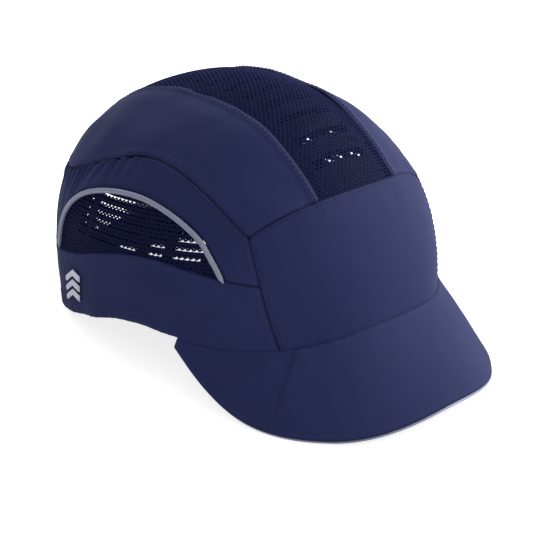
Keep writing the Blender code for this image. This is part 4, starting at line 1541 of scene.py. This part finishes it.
@dataclass
class Peak:
    """Two cloth covers over a stiff board, with thin reflective piping between their edges."""

    finishes: Finishes
    length: float = 100.0
    corner_x: float = 84.0
    power: float = 2.32
    room: float = 0.3
    lean: float = 0.85
    room_edge: float = 2.5
    cover: float = 0.7
    under_depth: float = 2.9
    under_reach: float = 1.014
    piping_depth: float = 1.6
    board_depth: float = 1.0
    board_thick: float = 1.0
    # Crease in the top cover, from the root to the edge on the wearer's right (x, y).
    crease: tuple[tuple[float, float], tuple[float, float]] = ((-54.0, -83.0), (-69.0, -89.5))
    piping_points: int = 420

    def points(self, u: Array, v: Array, sunk: float) -> Array:
        """Peak surface at a depth: root on the wall, edge a superellipse, straight between.

        Args:
            u: stations from the right corner to the left.
            v: stations from the root to the edge.
            sunk: depth under the top, along its normal.

        Returns:
            The grid of points.
        """
        u, v = np.meshgrid(lerp(0.001, 0.999, u), v)
        t = lerp(-1.0, 1.0, u)
        phi = t[0] * FORM.corner
        root = FORM.wall(phi, FORM.peak_seam(phi), -self.room - self.lean * sunk)[None]
        turn = t * math.pi / 2
        edge_x = self.corner_x * np.sign(turn) * np.abs(np.sin(turn)) ** (2 / self.power)
        edge_x = edge_x + self.room_edge * np.sin(turn)
        edge_y = FORM.corner_y - self.length * np.abs(np.cos(turn)) ** (2 / self.power)
        x, y = lerp(root[..., 0], edge_x, v), lerp(root[..., 1], edge_y, v)
        ears = np.clip(np.abs(x) - FORM.ear_x, 0, None)
        fall = 2 * FORM.peak_bow * x + 2 * FORM.ear_bow * ears * np.sign(x)
        level = np.ones(x.shape)
        normal = unit(np.stack([fall, -FORM.peak_slope * level, level], -1))
        return np.stack([x, y, FORM.peak_surface(x, y)], -1) - normal * sunk

    def crease_relief(self, points: Array) -> Array:
        """Fold beside a line in plan: a step along it that fades out past both ends."""
        start, end = (np.array(p) for p in self.crease)
        along = unit(end - start)
        offset = points[..., :2] - start
        reach = offset @ along / np.linalg.norm(end - start)
        beside = offset @ np.array([-along[1], along[0]])
        fade = smooth(reach * 2.5 + 0.9) * smooth((1.5 - reach) * 1.4)
        return 0.5 * fade * (np.tanh(beside / 1.1) * bell(beside, 9.0) - 0.5 * bell(beside, 1.2))

    def build(self) -> None:
        """Builds the covers, the board between them and the piping."""
        u = packed(360, 0.3)
        above, below = (0.0, -60.0, -600.0), (0.0, -60.0, 600.0)
        top = Patch(self.points(u, packed(110), 0.0), above)
        seams = (Seam(Edge.LOW, dip=0.6, swell=0.2, pucker=0.25, pitch=7, reach=5, seed=71),
                 Seam(Edge.HIGH, dip=0.8, width=0.9, swell=0.0))
        cloth_panel("peak_top_cloth", "peak_top_cover", top, seams, self.cover,
                    self.finishes.twill, self.crease_relief(top.points))
        under = Patch(self.points(u, packed(80) * self.under_reach, self.under_depth), below)
        seams = (Seam(Edge.HIGH, dip=0.7, width=0.9, swell=0.0), Seam(Edge.LOW, dip=0.4))
        cloth_panel("peak_under_cloth", "peak_under_cover", under, seams, self.cover,
                    self.finishes.twill)
        edge = self.points(np.linspace(0.045, 0.955, self.piping_points), np.array([1.002]),
                           self.piping_depth)[0]
        up = np.broadcast_to(unit(np.array([0.0, -FORM.peak_slope, 1.0])), edge.shape)
        swept_piece("peak_edge_cord", edge, up, oval(0.85, 0.38, 10), self.finishes.piping,
                    "reflective_piping", "peak_piping", size=tapered(self.piping_points, 0.2, 40))
        u, v = lerp(0.02, 0.98, packed(160)), lerp(0.06, 0.975, packed(40))
        board = Patch(self.points(u, v, self.board_depth), above)
        sheet_piece("peak_board_moulding", board, self.board_thick, self.finishes.board,
                    "peak_board_plastic", "peak_board")


@dataclass
class Liner:
    """Sweatband, hem tape, foam pads and care label inside the cap."""

    finishes: Finishes
    depth: float = 4.8
    end: float = math.radians(127)
    band_thick: float = 2.2
    quilt_depth: float = 0.22
    quilt_pitch: float = 13.0
    hem_depth: float = 2.0
    hem_thick: float = 2.0
    label_thick: float = 0.4
    pad_thick: float = 4.0
    voxel: float = 3.2
    swell: float = 1.3

    @staticmethod
    def above_edge(lift: float) -> Height:
        """Height function that stays above the cloth's lower edge."""
        return lambda phi: FORM.low_edge(phi) + lift

    @staticmethod
    def level(z: float) -> Height:
        """Height function that is the same in every direction."""
        return lambda phi: np.full(np.shape(phi), z)

    def strip(self, start: float, stop: float, low: Height, high: Height, depth: float,
              shape: tuple[int, int]) -> Array:
        """Points between two directions and two height functions, at a depth.

        Args:
            start: first direction.
            stop: last direction.
            low: height of the lower edge.
            high: height of the upper edge.
            depth: how far under the outer surface.
            shape: number of points along and up.

        Returns:
            The grid of points.
        """
        u, v = np.meshgrid(np.linspace(0, 1, shape[0]), np.linspace(0, 1, shape[1]))
        phi = lerp(start, stop, u)
        return FORM.wall(phi, lerp(low(phi), high(phi), v), depth)

    def build_bands(self) -> None:
        """The sweatband and the hem tapes: strips whose thickness rounds off at both edges."""
        rounded = np.sqrt(1 - np.abs(np.linspace(-0.99, 0.99, 25)) ** 7)[:, None]
        band = Patch(self.strip(-self.end, self.end, self.above_edge(1.5), self.above_edge(27),
                                self.depth, (420, 25)))
        quilt = self.quilt_depth * np.abs(np.sin(band.runs()[0] * math.pi / self.quilt_pitch))
        made = sheet_piece("sweatband_towelling", band, (self.band_thick + quilt) * rounded,
                           self.finishes.terry, "towelling", "sweatband")
        hem = self.strip(0.004, self.end - 0.035, self.above_edge(1.0), self.above_edge(9.5),
                         self.hem_depth, (260, 25))
        for side in Side:
            name = f"hem_tape_{side.label}"
            sheet_piece(name + "_folded", Patch(mirrored(hem, side)), self.hem_thick * rounded,
                        self.finishes.tape, "binding_tape", name)

    def build_label(self) -> None:
        """A blank satin label that lies on the sweatband."""
        label = Patch(self.strip(-2.16, -1.98, self.above_edge(6), self.above_edge(24),
                                 self.depth + 3.7, (30, 40)))
        across, along = label.runs()
        made = sheet_piece("care_label_blank", label, self.label_thick, self.finishes.label,
                           "label_satin", "care_label")

    def inflate(self, name: str, patch: Patch) -> bpy.types.Object:
        """Foam pad: a thin lens of cloth, remeshed and blown up by a short cloth simulation.

        Args:
            name: name of the piece.
            patch: face of the pad that lies against the shell.

        Returns:
            The finished pad.
        """
        rows, columns = patch.points.shape[:2]
        u, v = np.meshgrid(np.linspace(-1, 1, columns), np.linspace(-1, 1, rows))
        lens = (1 - np.abs(u) ** 6) * (1 - np.abs(v) ** 6)
        pile = Pile()
        pile.sheet(patch.raised(-0.3), (self.pad_thick - 1.4) * (0.35 + 0.65 * lens))
        pad = pile.build(name, self.finishes.pad)
        remesh = pad.modifiers.new("even", "REMESH")
        remesh.mode = "VOXEL"
        remesh.voxel_size = self.voxel * MM
        bake(pad)
        self.blow_up(pad)
        rounder = pad.modifiers.new("round", "SUBSURF")
        rounder.levels = rounder.render_levels = 2
        bake(pad)
        pad.data.shade_smooth()
        pad.data.name = name
        return pad

    def blow_up(self, pad: bpy.types.Object) -> None:
        """Runs the cloth simulation on a pad and keeps each point within the swell."""
        scene = bpy.context.scene
        rest = np.zeros(len(pad.data.vertices) * 3, np.float32)
        pad.data.vertices.foreach_get("co", rest)
        cloth = pad.modifiers.new("cloth", "CLOTH")
        cloth.settings.quality = 6
        cloth.settings.use_pressure = True
        cloth.settings.uniform_pressure_force = 4.0
        cloth.settings.effector_weights.gravity = 0.0
        for number in range(1, 17):
            scene.frame_set(number)
        graph = bpy.context.evaluated_depsgraph_get()
        blown = np.zeros_like(rest)
        pad.evaluated_get(graph).data.vertices.foreach_get("co", blown)
        move = (blown - rest).reshape(-1, 3)
        length = np.maximum(np.linalg.norm(move, axis=1, keepdims=True), 1e-9)
        limited = rest.reshape(-1, 3) + move * np.minimum(1, self.swell * MM / length)
        pad.modifiers.clear()
        scene.frame_set(1)
        pad.data.vertices.foreach_set("co", limited.astype(np.float32).ravel())
        pad.data.update()

    def build_pads(self) -> None:
        """The front, rear, side and crown pads."""
        areas = [("front_pad", -0.62, 0.62, 68, 90, Side.LEFT),
                 ("rear_pad", 2.72, 3.56, 60, 84, Side.LEFT)]
        areas += [(f"side_pad_{side.label}", 1.2, 2.0, 88, 104, side) for side in Side]
        for name, start, stop, low, high, side in areas:
            strip = self.strip(start, stop, self.level(low), self.level(high), self.depth, (60, 20))
            pad = self.inflate(name + "_foam", Patch(mirrored(strip, side)))
            settle(pad, "grey_foam", name)
        x, y = np.meshgrid(np.linspace(-34, 34, 50), np.linspace(-40, 44, 60))
        pad = self.inflate("crown_pad_foam", Patch(FORM.roof(x, y, self.depth)))
        settle(pad, "grey_foam", "crown_pad")

    def build(self) -> None:
        """Builds everything inside the shell, and paints the shell."""
        self.build_bands()
        self.build_label()
        self.build_pads()
        paint("protective_shell", self.finishes.shell)


@dataclass
class Emblem:
    """Embroidered emblem on the right band: three stacked chevrons in satin stitch."""

    finishes: Finishes
    run: tuple[float, float] = (29.0, 43.0)
    first_rise: float = 9.6
    spacing: float = 5.3
    half_bar: float = 1.75
    point: float = 3.4
    thread: float = 0.5

    def build(self) -> None:
        """Each bar bulges like a padded stitch, and its threads are ridges across it."""
        pile = Pile()
        u, v = np.meshgrid(np.linspace(0, 1, 230), np.linspace(-1, 1, 11))
        y = lerp(*self.run, u)
        slope = self.point * (1 - np.abs(2 * u - 1))
        for number in range(3):
            rise = self.first_rise + number * self.spacing + slope + self.half_bar * v
            points = FORM.from_side(np.stack([y, FORM.rim(y) + rise], -1))
            bar = Patch(mirrored(points, Side.RIGHT))
            padding = 0.85 + 0.55 * np.sqrt(np.clip(1 - v**2, 0, 1))
            ridges = 0.1 * np.cos(2 * math.pi * y / self.thread)
            pile.sheet(bar.raised(padding + ridges * (1 - v**4)), 0.75)
        settle(pile.build("emblem_chevrons", self.finishes.embroidery),
               "embroidery_thread", "emblem_badge")


@dataclass
class Adjuster:
    """Rear strap, its elastic, sewn tabs and lever buckle, all turned about one axis."""

    finishes: Finishes
    axis_y: float = 4.0
    outer: float = 89.6
    thick: float = 1.3
    low: float = 4.5
    high: float = 20.5
    rib_height: float = 0.1

    def ring(self, degrees: Array, radius: float | Array, z: Array) -> Array:
        """Points round the strap's axis, from straight behind towards the wearer's left."""
        turn = np.radians(degrees)
        x, y = radius * np.sin(turn), self.axis_y + radius * np.cos(turn)
        return np.stack([x, y, z + 0 * turn], -1)

    def strip(self, start: float, stop: float, radius: float, columns: int,
              rows: int = 33) -> Patch:
        """Band round the axis between two directions."""
        u, v = np.meshgrid(np.linspace(start, stop, columns),
                           np.linspace(self.low, self.high, rows))
        return Patch(self.ring(u, radius, v), (0.0, self.axis_y, 12.5))

    def woven(self, name: str, patch: Patch, thick: float, finish: bpy.types.Material,
              rib: float = 1.1, lengthwise: bool = False) -> bpy.types.Object:
        """Strip of webbing or elastic: cosine ribs over it, thinner at both selvedges.

        Args:
            name: name of the piece.
            patch: its outer face.
            thick: its thickness.
            finish: its material.
            rib: distance from rib to rib.
            lengthwise: whether the ribs run along the strip.

        Returns:
            The new object.
        """
        across, along = patch.runs()
        height = self.rib_height
        selvedge = np.sqrt(1 - np.abs(2 * along / along[-1:] - 1) ** 9 * 0.8)
        ribs = height * np.cos(2 * math.pi * (along if lengthwise else across) / rib)
        pile = Pile()
        pile.sheet(patch.raised((ribs - height) * selvedge), (thick - 2 * height) * selvedge)
        return pile.build(name, finish)

    def build_strap(self) -> None:
        """The loose strap, which slides through the buckle, and the elastic that pulls it."""
        made = self.woven("strap_webbing_woven", self.strip(-9.7, 34, self.outer, 520), self.thick,
                          self.finishes.webbing)
        settle(made, "webbing", "strap_webbing", body="strap")
        made = self.woven("rear_elastic_ribbed", self.strip(-24.0, -9.2, self.outer, 120, 97),
                          self.thick, self.finishes.elastic, rib=1.3, lengthwise=True)
        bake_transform(made)
        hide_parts("rear_elastic")
        report(made)

    def build_tabs(self) -> None:
        """Two tabs sewn to the cap, each with a box of stitches crossed corner to corner."""
        rows = Pile()
        tabs = (("anchor_tab_right", -38.0, -24.1, self.outer + 0.5, 2.2, (-37.0, -26.0)),
                ("anchor_tab_left", 22.6, 39.0, self.outer + 1.5, 1.1, (29.5, 38.0)))
        for name, start, stop, radius, thick, box in tabs:
            made = self.woven(name + "_webbing", self.strip(start, stop, radius, 200), thick,
                              self.finishes.webbing)
            settle(made, "webbing", name)
            low, high = self.low + 2.2, self.high - 2.2
            corners = [(box[0], low), (box[1], low), (box[1], high), (box[0], high)]
            legs = [*zip(corners, corners[1:] + corners[:1]), *zip(corners[:2], corners[2:])]
            for (a, low_z), (b, high_z) in legs:
                t = np.linspace(0, 1, 30)
                line = self.ring(lerp(a, b, t), radius + 0.02, lerp(low_z, high_z, t))
                normal = unit((line - np.array([0, self.axis_y, 0])) * np.array([1, 1, 0]))
                rows.stitches(line, normal, pitch=1.9, length=1.5, radius=0.22)
        settle(rows.build("anchor_tab_box_stitch", self.finishes.embroidery), "webbing")

    def build_buckle(self) -> None:
        """The moulded buckle parts, with their edges rounded, and the steel pin."""
        for node, body, radius in (("buckle_base", "cap", 0.45), ("buckle_lever", "lever", 0.4),
                                   ("strap_tip", "strap", 0.5)):
            refine(node, node + "_moulding", self.finishes.buckle, "buckle_acetal", body, radius)
        paint("buckle_pin", self.finishes.steel)

    def build(self) -> None:
        """Builds the whole adjuster."""
        self.build_strap()
        self.build_tabs()
        self.build_buckle()


def paint(node: str, finish: bpy.types.Material) -> None:
    """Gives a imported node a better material."""
    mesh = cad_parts[node].data
    mesh.materials.clear()
    mesh.materials.append(finish)


def refine(node: str, name: str, finish: bpy.types.Material, slot: str, body: str,
           radius: float) -> None:
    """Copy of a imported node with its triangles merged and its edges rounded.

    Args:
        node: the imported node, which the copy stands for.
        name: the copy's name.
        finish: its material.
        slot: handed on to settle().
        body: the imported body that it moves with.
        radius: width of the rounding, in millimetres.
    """
    shape = bmesh.new()
    shape.from_mesh(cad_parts[node].data)
    bmesh.ops.remove_doubles(shape, verts=shape.verts, dist=1e-6)
    bmesh.ops.dissolve_limit(shape, angle_limit=math.radians(2), verts=shape.verts,
                             edges=shape.edges)
    mesh = bpy.data.meshes.new(name)
    shape.to_mesh(mesh)
    shape.free()
    made = placed(name, mesh)
    rounding = made.modifiers.new("rounding", "BEVEL")
    rounding.width = radius * MM
    rounding.segments = 3
    rounding.limit_method = "ANGLE"
    rounding.angle_limit = math.radians(35)
    bake(made)
    made.data.materials.clear()
    made.data.materials.append(finish)
    made.data.shade_smooth()
    made.data.set_sharp_from_angle(angle=SHARP)
    settle(made, slot, node, body=body)


# Studio.


@dataclass
class Studio:
    """Pale floor, soft light and the camera."""

    azimuth: float = -47.64
    elevation: float = 26.35
    roll: float = 5.0
    distance: float = 791.2
    target: tuple[float, float, float] = (1.17, 4.19, 26.54)
    lens: float = 101.5
    lit_point: tuple[float, float, float] = (0.0, 0.0, 0.06)

    def build_camera(self) -> None:
        """Camera that looks from the front right and a little above, rolled slightly."""
        azimuth, elevation, roll = map(math.radians, (self.azimuth, self.elevation, self.roll))
        back = Vector((math.sin(azimuth) * math.cos(elevation),
                       -math.cos(azimuth) * math.cos(elevation), math.sin(elevation)))
        level = Vector((math.cos(azimuth), math.sin(azimuth), 0))
        rise = back.cross(level)
        right = level * math.cos(roll) + rise * math.sin(roll)
        up = rise * math.cos(roll) - level * math.sin(roll)
        camera = placed("camera", bpy.data.cameras.new("camera"))
        turn = Matrix((right, up, back)).transposed().to_4x4()
        place = (Vector(self.target) + back * self.distance) * MM
        camera.matrix_world = Matrix.Translation(place) @ turn
        camera.data.lens = self.lens
        camera.data.sensor_width = 36.0
        camera.data.clip_start = 0.05
        bpy.context.scene.camera = camera

    def build_light(self, name: str, place: tuple[float, float, float], size: float, power: float,
                    colour: str) -> None:
        """Square soft light that faces the cap."""
        lamp = bpy.data.lights.new(name, "AREA")
        lamp.size = size
        lamp.energy = power
        lamp.color = linear(colour)[:3]
        light = placed(name, lamp)
        light.location = place
        towards = Vector(self.lit_point) - Vector(place)
        light.rotation_euler = towards.to_track_quat("-Z", "Y").to_euler()

    def build_floor(self) -> None:
        """Seamless pale floor, wide enough to fill every view."""
        corners = [(-4, -4, 0), (4, -4, 0), (4, 4, 0), (-4, 4, 0)]
        mesh = bpy.data.meshes.new("floor")
        mesh.from_pydata(corners, [], [(0, 1, 2, 3)])
        material, shader = start_material("pale_paper", Base_Color=linear("F4F4F6"), Roughness=0.9,
                                          Emission_Color=linear("FFFFFF"))
        path = add_node(material.node_tree, "LightPath")
        glow = add_node(material.node_tree, "MapRange", {"To Min": 0.05, "To Max": 0.78},
                        {"Value": path.outputs["Is Camera Ray"]})
        material.node_tree.links.new(glow.outputs[0], shader.inputs["Emission Strength"])
        mesh.materials.append(material)
        floor = placed("floor", mesh)

    def build_world(self, scene: bpy.types.Scene) -> None:
        """White to the camera; as light, brighter from the left front than from the right rear.

        Args:
            scene: the scene that gets the world.
        """
        world = bpy.data.worlds.new("studio")
        world.use_nodes = True
        tree = world.node_tree
        direction = add_node(tree, "TexCoord")
        towards = add_node(tree, "VectorMath", {1: (0.78, -0.25, 0.57)},
                           {0: direction.outputs["Generated"]}, operation="DOT_PRODUCT")
        light = add_node(tree, "MapRange", {"From Min": -1.0, "To Min": 0.07, "To Max": 0.88},
                         {"Value": towards.outputs["Value"]})
        path = add_node(tree, "LightPath")
        seen = add_node(tree, "Mix", {3: 1.0},
                        {0: path.outputs["Is Camera Ray"], 2: light.outputs[0]}, data_type="FLOAT")
        tree.links.new(seen.outputs[0], tree.nodes["Background"].inputs["Strength"])
        tree.nodes["Background"].inputs["Color"].default_value = (1.0, 1.0, 1.0, 1.0)
        scene.world = world

    def build(self) -> None:
        """Builds the studio."""
        scene = bpy.context.scene
        scene.view_settings.view_transform = "Standard"
        self.build_world(scene)
        self.build_floor()
        self.build_light("key", (1.2, -0.45, 0.8), 0.9, 17.0, "FBFCFF")
        self.build_light("fill", (-1.2, -0.6, 0.9), 1.2, 1.6, "EEF1FF")
        self.build_light("back", (0.6, 1.2, 0.9), 0.8, 4.0, "F0F3FF")
        self.build_camera()


def main() -> None:
    """Builds every sub-assembly in order."""
    logging.basicConfig(level=logging.INFO, format="%(message)s")
    finishes = Finishes()
    for part in (Studio(), Crown(finishes), SideWalls(finishes), RearOpening(finishes),
                 Peak(finishes), Emblem(finishes), Adjuster(finishes), Liner(finishes)):
        part.build()
        log.info("%s is built", type(part).__name__)


if __name__ == "__main__":
    main()
